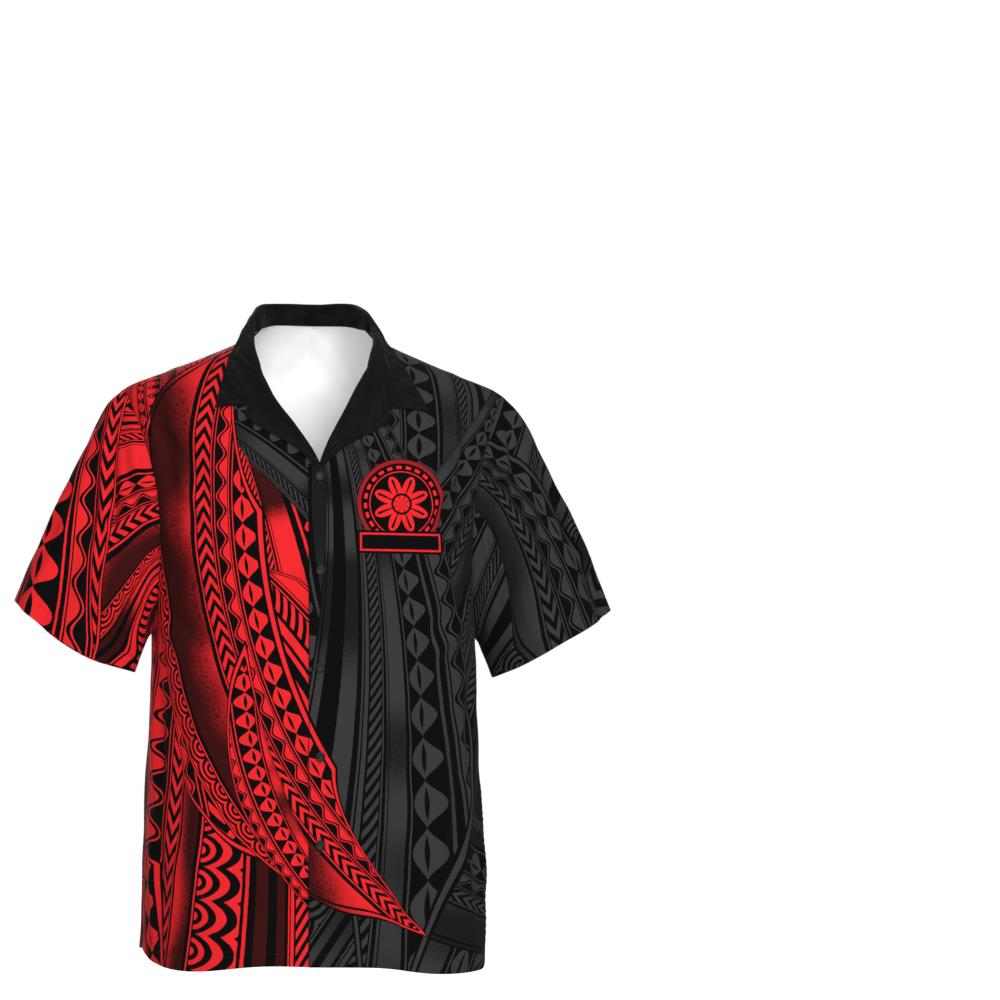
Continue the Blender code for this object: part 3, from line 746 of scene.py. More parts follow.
    def inner_edge_back(self) -> list[Spot]:
        """The back's centre line up to the neckline, and the neckline to the neck point.

        Returns:
            The spots, laid out on the wearer's left.
        """
        below = [Spot(0, z) for z in self.body_heights(self.hem[Face.BACK](0))]
        rows = self.yoke_rows - self.neck_back_rows
        rise = (NECK_BACK[0].height - self.underarm) / rows
        above = [Spot(0, self.underarm + rise * r) for r in range(rows)]
        return below + above + [Spot(*p) for p in through(NECK_BACK, self.neck_back_rows)]

    def outer_edge(self, face: Face) -> list[Spot]:
        """The side seam from the hem to the underarm, and the armhole to the shoulder point.

        Args:
            face: The front or the back.

        Returns:
            The spots, laid out on the wearer's left.
        """
        seam = [Spot(self.half_width(z), z) for z in self.body_heights(self.hem[face](1))]
        turns = [math.pi * (1 - r / self.yoke_rows) for r in range(self.yoke_rows + 1)]
        return seam + [self.armhole(face, turn) for turn in turns]

    def crease_lift(self, face: Face, hand: int, spot: tuple[float, float], to_seam: float) -> float:
        """How far the broad creases lift this place of a panel.

        Args:
            face: The front or the back.
            hand: 1 for the wearer's left, -1 for the right.
            spot: The place, as its distance out and its height.
            to_seam: Distance to the nearest seam.

        Returns:
            The lift.
        """
        lift = 0.0
        here = np.array(spot)
        for crease in CREASES:
            if crease.face is not face or crease.hand != hand:
                continue
            start, end = np.array(crease.start), np.array(crease.end)
            run = end - start
            along = float((here - start) @ run / (run @ run))
            nearest = start + run * min(max(along, 0.0), 1.0)
            taper = math.sin(math.pi * min(max((along + 0.25) / 1.5, 0.0), 1.0))
            lift += crease.lift * taper * math.exp(-((np.linalg.norm(here - nearest) / crease.spread) ** 2))
        return lift * float(smoothstep(0, self.seam_fade, to_seam))

    def half_panel(self, face: Face, hand: int) -> Array:
        """Points of one half of the body, hem to shoulder by inner edge to side, on the wearer's left.

        Args:
            face: Front or back.
            hand: 1 for the wearer's left half, -1 for the right.

        Returns:
            For each point its place in space, then its place on the flat cut.
        """
        inner = self.inner_edge_front(hand) if face is Face.FRONT else self.inner_edge_back()
        grid = []
        for r, (start, end) in enumerate(zip(inner, self.outer_edge(face))):
            line = []
            below = 1 - min(r / self.body_rows, 1.0)
            drop = (self.shoulder(abs(start.out)) - start.height, self.shoulder(end.out) - end.height)
            for q in np.linspace(0, 1, 81):
                s = math.sin(q * math.pi / 2)
                out = start.out + (end.out - start.out) * s
                ruled = self.shoulder(abs(out)) - (drop[0] + (drop[1] - drop[0]) * s)
                height = self.hem[face](q) * below + self.underarm * (1 - below) if below > 0 else ruled
                line.append(np.array([out, face.towards * self.depth(face, out, height), height]))
            grid.append(evenly(line, self.columns))
        plain = np.array(grid)
        dressed = self.dress(plain, face, hand)
        if face is Face.FRONT and hand < 0:
            dressed = self.underlapped(dressed)
        return np.concatenate([dressed, self.cut_places(face, plain)], axis=2)

    def dress(self, grid: Array, face: Face, hand: int) -> Array:
        """The flutes and broad creases of a half panel, added to its plain rows.

        Args:
            grid: The half panel's plain points.
            face: The front or the back.
            hand: 1 for the wearer's left, -1 for the right.

        Returns:
            The dressed points.
        """
        rows, columns = grid.shape[:2]
        made = grid.copy()
        along = run_length(grid, 1)
        for r in range(rows):
            for c in range(columns):
                point = grid[r, c]
                angle = hand * math.degrees(math.atan2(point[0], -point[1]))
                radial = unit(np.array([point[0], point[1], 0.0]))
                across = grid[r, min(c + 1, columns - 1)] - grid[r, max(c - 1, 0)]
                upwards = grid[min(r + 1, rows - 1), c] - grid[max(r - 1, 0), c]
                normal = unit(np.cross(across, upwards)) * -face.towards
                to_seam = min(along[r, -1] - along[r, c], max(self.shoulder(abs(point[0])) - point[2], 0.0))
                lift = self.crease_lift(face, hand, (point[0], point[2]), to_seam)
                made[r, c] = point + radial * self.fluting(angle, point[2]) + normal * lift
        return made

    def underlapped(self, grid: Array) -> Array:
        """The right front's points, sunk behind the left front where the two overlap.

        Args:
            grid: The right front's points, laid out on the wearer's left.

        Returns:
            The sunk points.
        """
        made = grid.copy()
        ramp = 1 - smoothstep(self.drop_hold, self.drop_end, made[..., 0])
        fade = 1 - smoothstep(BREAK - 1, BREAK + 12, made[..., 2])
        made[..., 1] += self.drop * ramp * fade
        return made

    def sleeve_centre(self, share: float) -> tuple[Array, Array]:
        """The middle of a sleeve's station and the reach from it to the top edge.

        Args:
            share: Share of the way from the armhole to the cuff.

        Returns:
            The middle and the reach, as vectors.
        """
        at = {name: self.station[name](share) for name in self.station}
        top = np.array([at["top_out"], -at["forward"], at["top_height"]])
        low = np.array([at["low_out"], -at["forward"], at["low_height"]])
        return (top + low) / 2, (top - low) / 2

    def sleeve_point(self, hand: int, share: float, turn: float) -> Array:
        """A point of the plain sleeve.

        Args:
            hand: 1 for the wearer's left, -1 for the right.
            share: Share of the way from the armhole to the cuff.
            turn: Turn from the top edge towards the front, in radians.

        Returns:
            The point, laid out on the wearer's left.
        """
        centre, half = self.sleeve_centre(share)
        down = unit(np.array([half[2], 0.0, -half[0]]))
        dip = self.cuff_dip[hand] * share**4 * math.sin(turn) ** 2
        forward = np.array([0.0, -self.station["half_depth"](share) * math.sin(turn), 0.0])
        return centre + half * math.cos(turn) + forward + down * dip

    def sleeve_lift(self, hand: int, share: float, degrees: float) -> float:
        """How far the broad folds lift this place of a sleeve.

        Args:
            hand: 1 for the wearer's left, -1 for the right.
            share: Share of the way from the armhole to the cuff.
            degrees: Turn from the top edge towards the front.

        Returns:
            The lift.
        """
        lift = 0.0
        for fold in SLEEVE_FOLDS:
            if fold.hand == hand:
                turn = (degrees - fold.degrees + 180) % 360 - 180
                rise = smoothstep(fold.start, fold.peak, share)
                lift += fold.lift * math.exp(-((turn / fold.spread) ** 2)) * rise
        return float(lift)

    def sleeve(self, hand: int, front: Array, back: Array) -> Array:
        """Rings of a sleeve on the wearer's left, from the armhole to the cuff, closed at the underarm.

        Args:
            hand: 1 for the wearer's left sleeve, -1 for the right.
            front: The armhole's edge of the front, from the underarm to the shoulder point.
            back: The same edge of the back.

        Returns:
            Points by ring and by place round the ring, the underarm's first and again last.
        """
        loop = np.concatenate([front[::-1], back[1:-1]])
        turns = [math.pi * k / self.yoke_rows for k in range(len(loop))]
        rings = []
        for i in range(self.rings + 1):
            share = i / self.rings
            ring = []
            for turn, seam in zip(turns, loop):
                plain = self.sleeve_point(hand, share, turn)
                point = plain + (seam - self.sleeve_point(hand, 0.0, turn)) * (1 - share) ** 3
                outward = unit(point - self.sleeve_centre(share)[0])
                ring.append(point + outward * self.sleeve_lift(hand, share, math.degrees(turn)))
            rings.append(ring)
        grid = np.roll(np.array(rings), -self.yoke_rows, axis=1)
        return np.concatenate([grid, grid[:, :1]], axis=1)


def read_between(values: Array, at: Array, kinks: Sequence[tuple[int, Array]] = ()) -> Array:
    """Reads rows of points at fractional places, along smooth curves through them.

    Args:
        values: The rows of points.
        at: The fractional row numbers to read.
        kinks: Rows at which an edge turns a corner, and for each column, from 0 to 1, how sharp it is.

    Returns:
        One row of points for each place.
    """
    runs = np.diff(values, axis=0)
    chords = np.maximum(np.linalg.norm(runs[..., :3], axis=2, keepdims=True), 1e-6)
    rates = runs / chords
    middle = (rates[:-1] * chords[1:] + rates[1:] * chords[:-1]) / (chords[1:] + chords[:-1])
    slopes = np.concatenate([rates[:1], middle, rates[-1:]])
    i = np.clip(np.floor(at).astype(int), 0, len(values) - 2)
    t = (at - i)[:, None, None]
    start, end = slopes[i] * chords[i], slopes[i + 1] * chords[i]
    run = runs[i]
    for kink, hold in kinks:
        held = hold[None, :, None]
        start = start + (run - start) * held * (i == kink)[:, None, None]
        end = end + (run - end) * held * (i + 1 == kink)[:, None, None]
    return hermite(t, 1.0, values[i], start, values[i + 1], end)


def corner_hold(count: int) -> Array:
    """How sharply an edge's corner is held, on that edge and on this many lines beside it."""
    return np.exp(-np.arange(count + 1) / CORNER_FADE)


def stops(count: int, each: Sequence[int], first: Sequence[float] = (), last: Sequence[float] = ()) -> Array:
    """Fractional row numbers, evenly spaced but for closer ones towards the two ends.

    Args:
        count: Number of intervals of the coarse grid.
        each: Fine steps in each coarse interval; the last value holds for the rest.
        first: Places close after the start that are added.
        last: Distances from the end that are added.

    Returns:
        The places in rising order.
    """
    at = [0.0]
    for i in range(count):
        steps = each[min(i, len(each) - 1)]
        at += [i + (k + 1) / steps for k in range(steps)]
    extra = list(first) + [count - value for value in last]
    return np.unique(np.round(np.array(at + extra), 5))


def cross_normals(points: Array) -> Array:
    """Unit normals of a grid of points, on the side from which its columns and rows run anticlockwise."""
    normals = np.cross(np.gradient(points, axis=1), np.gradient(points, axis=0))
    return normals / np.maximum(np.linalg.norm(normals, axis=2, keepdims=True), 1e-9)


def run_length(points: Array, axis: int) -> Array:
    """Length along the rows (1) or the columns (0) of a grid, from its first point.

    Args:
        points: The grid's points, by row and column.
        axis: 1 along the rows, 0 along the columns.

    Returns:
        The length at each point.
    """
    steps = np.linalg.norm(np.diff(points, axis=axis), axis=2)
    total = np.cumsum(steps, axis=axis)
    pad = [(0, 0), (0, 0)]
    pad[axis] = (1, 0)
    return np.pad(total, pad)


@dataclass(frozen=True)
class Fold:
    """One crease of a panel, drawn on its flat cut in millimetres: a ridge or a trough, a dip beside it.

    Attributes:
        start: One end, as (across, along).
        bend: The point that the crease bows towards.
        end: The other end.
        spread: Half its width.
        lift: Its height; below zero it is a trough.
        side: On which side the dip lies, 1 or -1.
        dip: The dip's depth, as a share of the height.
        dip_place: How far aside it lies, as a share of the width.
        readings: How many points of the crease's line are read.
    """

    start: tuple[float, float]
    bend: tuple[float, float]
    end: tuple[float, float]
    spread: float
    lift: float
    side: float = 1.0
    dip: float = 0.4
    dip_place: float = 1.9
    readings: int = 25

    def raise_by(self, across: Array, along: Array) -> Array:
        """How far the crease moves each point of the panel outwards.

        Args:
            across: Places across the flat cut.
            along: Places up the flat cut.

        Returns:
            The lift of each point.
        """
        a, b, c = (np.array(p, float) for p in (self.start, self.bend, self.end))
        t = np.linspace(0, 1, self.readings)[:, None]
        line = (1 - t) ** 2 * a + 2 * t * (1 - t) * b + t**2 * c
        here = np.stack([across, along], axis=-1)
        margin = 4 * self.spread
        near = np.all((here > line.min(0) - margin) & (here < line.max(0) + margin), axis=-1)
        made = np.zeros_like(across)
        if not near.any():
            return made
        offset = here[near][:, None, :] - line[None]
        gap = np.linalg.norm(offset, axis=2)
        nearest = gap.argmin(axis=1)
        share = nearest / (len(line) - 1)
        tangent = np.gradient(line, axis=0)[nearest]
        away = offset[np.arange(len(nearest)), nearest]
        sign = np.sign(tangent[:, 0] * away[:, 1] - tangent[:, 1] * away[:, 0]) * self.side
        distance = gap[np.arange(len(nearest)), nearest] * sign
        width = self.spread * (0.65 + 0.55 * np.sin(math.pi * share))
        beside = np.exp(-(((distance - self.dip_place * width) / width) ** 2))
        crest = np.exp(-((distance / width) ** 2)) - self.dip * beside
        taper = np.sin(math.pi * np.clip(share * 0.96 + 0.02, 0, 1)) ** 0.8
        made[near] = self.lift * crest * taper
        return made


@dataclass
class Drape:
    """The small creases of one panel: those listed, and the faint ripples of worn cloth.

    Attributes:
        folds: The listed creases.
        seed: Start of the ripples' random numbers.
        ripple: Height of the ripples.
        strength: Factor on the height of the placed creases.
        waves: How many ripples run through one another.
        wave_length: The shortest ripple's length and the longest's.
    """

    folds: Sequence[Fold]
    seed: int
    ripple: float = 0.8
    strength: float = 2.3
    waves: int = 9
    wave_length: tuple[float, float] = (34, 120)

    def raise_by(self, across: Array, along: Array) -> Array:
        """How far the creases and ripples move each point outwards.

        Args:
            across: Places across the flat cut.
            along: Places up the flat cut.

        Returns:
            The lift of each point.
        """
        made = np.zeros_like(across)
        for fold in self.folds:
            made += fold.raise_by(across, along) * self.strength
        dice = random.Random(self.seed)
        for _ in range(self.waves):
            length = dice.uniform(*self.wave_length)
            turn, phase = dice.uniform(0, math.pi), dice.uniform(0, math.tau)
            wave = (across * math.cos(turn) + along * math.sin(turn)) / length * math.tau + phase
            bow = np.sin((across * math.sin(turn) - along * math.cos(turn)) / (length * 2.3) + phase)
            made += self.ripple * (length / 110) * np.sin(wave + bow) * 0.5
        return made


@dataclass
class Patch:
    """A fine grid of points of one panel, in millimetres, with its flat cut and its normals.

    Attributes:
        points: The points by row and column.
        across: Each point's place across the flat cut.
        along: Each point's place up the flat cut.
    """

    points: Array
    across: Array
    along: Array

    def raised(self, lift: Array) -> "Patch":
        """The patch with each point moved out along its normal."""
        return Patch(self.points + cross_normals(self.points) * lift[..., None], self.across, self.along)

    def fade(self, edges: Sequence[str], reach: float) -> Array:
        """A mask that is 0 on the named edges and 1 past the reach.

        Args:
            edges: Names out of first_row, last_row, first_column and last_column.
            reach: Length over which the mask rises.

        Returns:
            The mask, by row and column.
        """
        up, over = run_length(self.points, 0), run_length(self.points, 1)
        distances = {
            "first_row": up,
            "last_row": up[-1:] - up,
            "first_column": over,
            "last_column": over[:, -1:] - over,
        }
        mask = np.ones_like(self.across)
        for edge in edges:
            mask *= smoothstep(0, reach, distances[edge])
        return mask

    def sunk(self, edges: Sequence[str], depth: float, reach: float) -> "Patch":
        """The patch with the named edges rolled in by a seam of this depth."""
        return self.raised(-depth * (1 - self.fade(edges, reach)) ** 2)

    def snapped(self, edge: str, target: Array, reach: float) -> "Patch":
        """The patch with one edge moved onto these points, and what lies near it drawn along.

        Args:
            edge: The edge's name.
            target: Its new points.
            reach: Length over which the rest follows.

        Returns:
            The moved patch.
        """
        ends = {"first_row": 0, "last_row": -1, "first_column": 0, "last_column": -1}
        axis = 0 if edge.endswith("row") else 1
        shift = np.expand_dims(target - self.points.take(ends[edge], axis=axis), axis)
        share = (1 - self.fade([edge], reach))[..., None]
        return Patch(self.points + shift * share, self.across, self.along)

    def hemmed(self, first: bool, depth: float, radius: float, groove: float) -> "Patch":
        """The patch with its first or last row turned in as a hem and a shallow groove along the stitch line.

        Args:
            first: True turns the first row in, False the last.
            depth: Height of the hem.
            radius: Radius of the fold.
            groove: Depth of the stitched groove.

        Returns:
            The longer patch.
        """
        step = 1 if first else -1
        points, across, along = self.points[::step], self.across[::step], self.along[::step]
        normals = cross_normals(self.points)[::step]
        up = run_length(points, 0)
        pinch = groove * np.exp(-(((up - depth + HEM_STITCH) / 1.3) ** 2))
        points = points - normals * pinch[..., None]
        rows = int(np.searchsorted(up.mean(axis=1), depth))
        down = points[0] - points[1]
        down /= np.linalg.norm(down, axis=1, keepdims=True)
        turned = [points[k] - normals[k] * 2 * radius for k in range(rows, -1, -1)]
        for a in np.radians((135, 90, 45)):
            turned.append(points[0] + normals[0] * radius * (math.cos(a) - 1) + down * radius * math.sin(a))
        back = [2 * along[0] - along[k] for k in range(rows, -1, -1)] + [along[0]] * 3
        made = Patch(
            np.concatenate([np.array(turned), points]),
            np.concatenate([across[rows::-1], np.repeat(across[:1], 3, axis=0), across]),
            np.concatenate([np.array(back), along]),
        )
        return Patch(made.points[::step], made.across[::step], made.along[::step])


def leaned(points: Array) -> Array:
    """Points in metres, with the lean that the shirt hangs with.

    Args:
        points: Points in millimetres.

    Returns:
        The leaned points, in metres.
    """
    made = points.copy()
    made[..., 2] -= LEAN * made[..., 0]
    return made * MM


def linked_object(
    name: str, bm: bmesh.types.BMesh, finishes: Sequence[bpy.types.Material] = ()
) -> bpy.types.Object:
    """Makes an object of a mesh in metres.

    Args:
        name: The object's name.
        bm: The mesh, which is freed.
        finishes: Its materials.

    Returns:
        The object, linked to the scene.
    """
    mesh = bpy.data.meshes.new(name)
    bm.to_mesh(mesh)
    bm.free()
    for finish in finishes:
        mesh.materials.append(finish)
    made = bpy.data.objects.new(name, mesh)
    bpy.context.scene.collection.objects.link(made)
    return made


def cloth_object(
    name: str,
    patch: Patch,
    finishes: Sequence[bpy.types.Material],
    wall: float,
    parting: Optional[int] = None,
) -> bpy.types.Object:
    """Makes a cloth shell of a patch.

    Args:
        name: The piece's name.
        patch: The fine grid; its normals point out of the cloth's right side.
        finishes: The right side's material and the wrong side's.
        wall: Thickness of the cloth, in millimetres, laid inwards.
        parting: The column after which the patch is parted; where both sides meet they are merged again.

    Returns:
        The object, with a live Solidify modifier.
    """
    rows, columns = patch.across.shape
    bm = bmesh.new()
    bmesh.ops.create_grid(bm, x_segments=columns - 1, y_segments=rows - 1, size=1.0)
    bm.verts.ensure_lookup_table()
    flat = np.array([vert.co for vert in bm.verts])
    column = np.rint((flat[:, 0] + 1) / 2 * (columns - 1)).astype(int)
    row = np.rint((flat[:, 1] + 1) / 2 * (rows - 1)).astype(int)
    cut = np.stack([patch.across, patch.along], axis=-1)[row, column] * MM
    layer = bm.loops.layers.uv.new(CLOTH_MAP)
    for vert, place, flat_place in zip(bm.verts, leaned(patch.points)[row, column], cut):
        vert.co = place
        for loop in vert.link_loops:
            loop[layer].uv = flat_place
    if parting is not None:
        beside = [vert for vert, c in zip(bm.verts, column) if c in (parting, parting + 1)]
        numbers = {vert.index for vert in beside}
        between = [face for face in bm.faces if all(vert.index in numbers for vert in face.verts)]
        bmesh.ops.delete(bm, geom=between, context="FACES_ONLY")
        bmesh.ops.delete(bm, geom=[edge for edge in bm.edges if not edge.link_faces], context="EDGES")
        beside = [vert for vert in beside if vert.is_valid]
        bmesh.ops.remove_doubles(bm, verts=beside, dist=MERGE_REACH)
    piece = linked_object(name, bm, finishes)
    piece.data.shade_smooth()
    if wall > 0:
        solid = piece.modifiers.new("wall", "SOLIDIFY")
        solid.thickness = wall * MM
        solid.offset = -1.0
        solid.material_offset = len(finishes) - 1
        solid.material_offset_rim = 0
    return piece


def give_sweeps(piece: bpy.types.Object, sweeps: Sequence["Sweep"]) -> None:
    """Stores each print sweep's place numbers on a shell's vertices, from its cloth map.

    Args:
        piece: The cloth shell.
        sweeps: The families of strips of its print.
    """
    mesh = piece.data
    corners = np.zeros(len(mesh.loops), np.int32)
    mesh.loops.foreach_get("vertex_index", corners)
    spread = np.zeros(len(mesh.loops) * 2, np.float32)
    mesh.uv_layers[CLOTH_MAP].data.foreach_get("uv", spread)
    cut = np.zeros((len(mesh.vertices), 2))
    cut[corners] = spread.reshape(-1, 2)
    for number, sweep in enumerate(sweeps, start=1):
        values = sweep.places(cut[:, 0] / MM, cut[:, 1] / MM)
        attribute = mesh.attributes.new(f"sweep_{number}", "FLOAT_VECTOR", "POINT")
        attribute.data.foreach_set("vector", values.astype(np.float32).ravel())


class Ink(Enum):
    """The inks of the print, as the value that picks each one."""

    CHARCOAL = 0.0
    RED = 1.0


@dataclass(frozen=True)
class Sweep:
    """A family of curved strips of the print: arms of a spiral that narrow towards its pole.

    Attributes:
        pole: The point that the strips narrow towards, on the flat cut in millimetres.
        anchor: A point of the family's lower border.
        turn: 0 for straight rays out of the pole, 90 for rings round it, between them spirals.
        pitch: Width of a strip, as a share of its distance from the pole.
        count: Number of strips.
        ink: Their ink.
        shift: Where in the order of motifs the family starts.
        span: First and last place along the strips, in strip widths from the anchor; None for no end.
        tip: Over how many strip widths the ends come to a point.
        sway: How far the strips' widths differ.
        sway_beat: How fast they change from strip to strip.
    """

    pole: tuple[float, float]
    anchor: tuple[float, float]
    turn: float
    pitch: float
    count: float
    ink: Ink
    shift: int = 0
    span: Optional[tuple[float, float]] = None
    tip: float = 4.0
    sway: float = 0.3
    sway_beat: float = 1.9

    def spiral(self, across: Array, along: Array) -> tuple[Array, Array]:
        """Strip number and place along the strips, before the anchor is taken off.

        Args:
            across: Places across the flat cut.
            along: Places up the flat cut.

        Returns:
            The strip numbers and the places along the strips.
        """
        aim = complex(self.anchor[0] - self.pole[0], self.anchor[1] - self.pole[1])
        place = (np.asarray(across) - self.pole[0] + 1j * (np.asarray(along) - self.pole[1])) / aim
        wound = np.log(np.where(np.abs(place) < 1e-6, 1e-6, place)) * np.exp(1j * math.radians(self.turn))
        return wound.imag / self.pitch, wound.real / self.pitch

    def places(self, across: Array, along: Array) -> Array:
        """Each point's strip number, its place along the strip and how far inside the family it lies.

        Args:
            across: Places across the flat cut.
            along: Places up the flat cut.

        Returns:
            The three values of each point.
        """
        over, run = self.spiral(across, along)
        over = over + self.sway * np.sin(self.sway_beat * over + self.shift)
        half = self.count / 2
        narrowed = np.full_like(over, half)
        if self.span is not None:
            ends = np.minimum(run - self.span[0], self.span[1] - run) / self.tip
            narrowed = half * np.clip(ends, -1, 1)
        inside = narrowed - np.abs(over - half)
        return np.stack([over, run, inside], axis=-1)


class Graph:
    """Adds nodes to a node tree and links them.

    Args:
        tree: The tree of a material or a group.
    """

    def __init__(self, tree: bpy.types.NodeTree) -> None:
        """Starts on the tree."""
        self.tree = tree
        self.count = 0

    def node(self, kind: str, **settings: object) -> bpy.types.Node:
        """A new node with these settings.

        Args:
            kind: The node's type.
            settings: Its settings, by name.

        Returns:
            The node.
        """
        made = self.tree.nodes.new(kind)
        made.location = (180 * (self.count // 6), -180 * (self.count % 6))
        self.count += 1
        for name, value in settings.items():
            setattr(made, name, value)
        return made

    def feed(self, socket: bpy.types.NodeSocket, value: Feed) -> None:
        """Links a socket to an input, or sets the input to a number, a vector or a colour.

        Args:
            socket: The input.
            value: What it is fed.
        """
        if isinstance(value, bpy.types.NodeSocket):
            self.tree.links.new(value, socket)
        else:
            socket.default_value = value

    def math(self, operation: str, *values: Feed, clamp: bool = False) -> bpy.types.NodeSocket:
        """The result of a Math node.

        Args:
            operation: The node's operation.
            values: Its inputs.
            clamp: Whether the result is held from 0 to 1.

        Returns:
            The result.
        """
        made = self.node("ShaderNodeMath", operation=operation, use_clamp=clamp)
        for socket, value in zip(made.inputs, values):
            self.feed(socket, value)
        return made.outputs[0]

    def mix(self, factor: Feed, first: Feed, second: Feed) -> bpy.types.NodeSocket:
        """Two colours mixed.

        Args:
            factor: Share of the second colour.
            first: The first colour.
            second: The second colour.

        Returns:
            The mixed colour.
        """
        made = self.node("ShaderNodeMix", data_type="RGBA")
        for name, value in (("Factor_Float", factor), ("A_Color", first), ("B_Color", second)):
            self.feed(next(s for s in made.inputs if s.identifier == name), value)
        return next(s for s in made.outputs if s.identifier == "Result_Color")

    def scaled(self, vector: Feed, factor: Feed) -> bpy.types.NodeSocket:
        """A vector or a colour times a number.

        Args:
            vector: The vector or the colour.
            factor: The number.

        Returns:
            The product's socket.
        """
        made = self.node("ShaderNodeVectorMath", operation="SCALE")
        self.feed(made.inputs[0], vector)
        self.feed(made.inputs["Scale"], factor)
        return made.outputs[0]

    def split(self, vector: Feed) -> Sequence[bpy.types.NodeSocket]:
        """The three parts of a vector.

        Args:
            vector: The vector.

        Returns:
            A socket for each part.
        """
        made = self.node("ShaderNodeSeparateXYZ")
        self.feed(made.inputs[0], vector)
        return made.outputs

    def between(self, value: Feed, low: float, high: float) -> bpy.types.NodeSocket:
        """1 where the value lies between low and high, else 0.

        Args:
            value: What is read.
            low: The lowest value that counts.
            high: The highest.

        Returns:
            The result.
        """
        middle, reach = (low + high) / 2, (high - low) / 2
        return self.math("COMPARE", value, middle, reach)

    def ramp(
        self, value: Feed, low: float, high: float, start: float = 0.0, end: float = 1.0
    ) -> bpy.types.NodeSocket:
        """A soft step from start to end.

        Args:
            value: What is read.
            low: Where the step starts.
            high: Where it ends.
            start: Result up to low.
            end: Result from high on.

        Returns:
            The result.
        """
        made = self.node("ShaderNodeMapRange", interpolation_type="SMOOTHSTEP")
        for socket, item in zip(made.inputs, (value, low, high, start, end)):
            self.feed(socket, item)
        return made.outputs[0]

    def noise(self, vector: Feed, scale: float, detail: float = 2.0) -> bpy.types.NodeSocket:
        """Soft noise from 0 to 1.

        Args:
            vector: Where the noise is read.
            scale: Its scale.
            detail: How many finer octaves it has.

        Returns:
            The noise.
        """
        made = self.node("ShaderNodeTexNoise")
        self.feed(made.inputs["Vector"], vector)
        self.feed(made.inputs["Scale"], scale)
        self.feed(made.inputs["Detail"], detail)
        return made.outputs["Fac"]

    def effect(self, group: bpy.types.NodeTree, **values: Feed) -> bpy.types.Node:
        """A placed group with its inputs fed, their spaces written as underscores.

        Args:
            group: The effect's node group.
            values: Its inputs, by name.

        Returns:
            The placed node.
        """
        made = self.node("ShaderNodeGroup", node_tree=group)
        for name, value in values.items():
            self.feed(made.inputs[name.replace("_", " ")], value)
        return made


def new_material(name: str, **inputs: Feed) -> tuple[bpy.types.Material, Graph, bpy.types.Node]:
    """Makes a material.

    Args:
        name: The material's name.
        inputs: Values of the shader's inputs, their spaces written as underscores.

    Returns:
        The material, its graph helper and its shader.
    """
    made = bpy.data.materials.new(name)
    made.use_nodes = True
    shader = made.node_tree.nodes["Principled BSDF"]
    for label, value in inputs.items():
        shader.inputs[label.replace("_", " ")].default_value = value
    return made, Graph(made.node_tree), shader


def new_group(
    name: str, inputs: Sequence[tuple[str, str, object]], outputs: Sequence[tuple[str, str]]
) -> tuple[Graph, bpy.types.Node, bpy.types.Node]:
    """Makes an empty node group.

    Args:
        name: The group's name.
        inputs: Name, socket type and default of each input.
        outputs: Name and socket type of each output.

    Returns:
        The graph helper, the group's input node and its output node.
    """
    tree = bpy.data.node_groups.new(name, "ShaderNodeTree")
    for label, kind, value in inputs:
        socket = tree.interface.new_socket(label, in_out="INPUT", socket_type=kind)
        if value is not None:
            socket.default_value = value
    for label, kind in outputs:
        tree.interface.new_socket(label, in_out="OUTPUT", socket_type=kind)
    graph = Graph(tree)
    return graph, graph.node("NodeGroupInput"), graph.node("NodeGroupOutput")


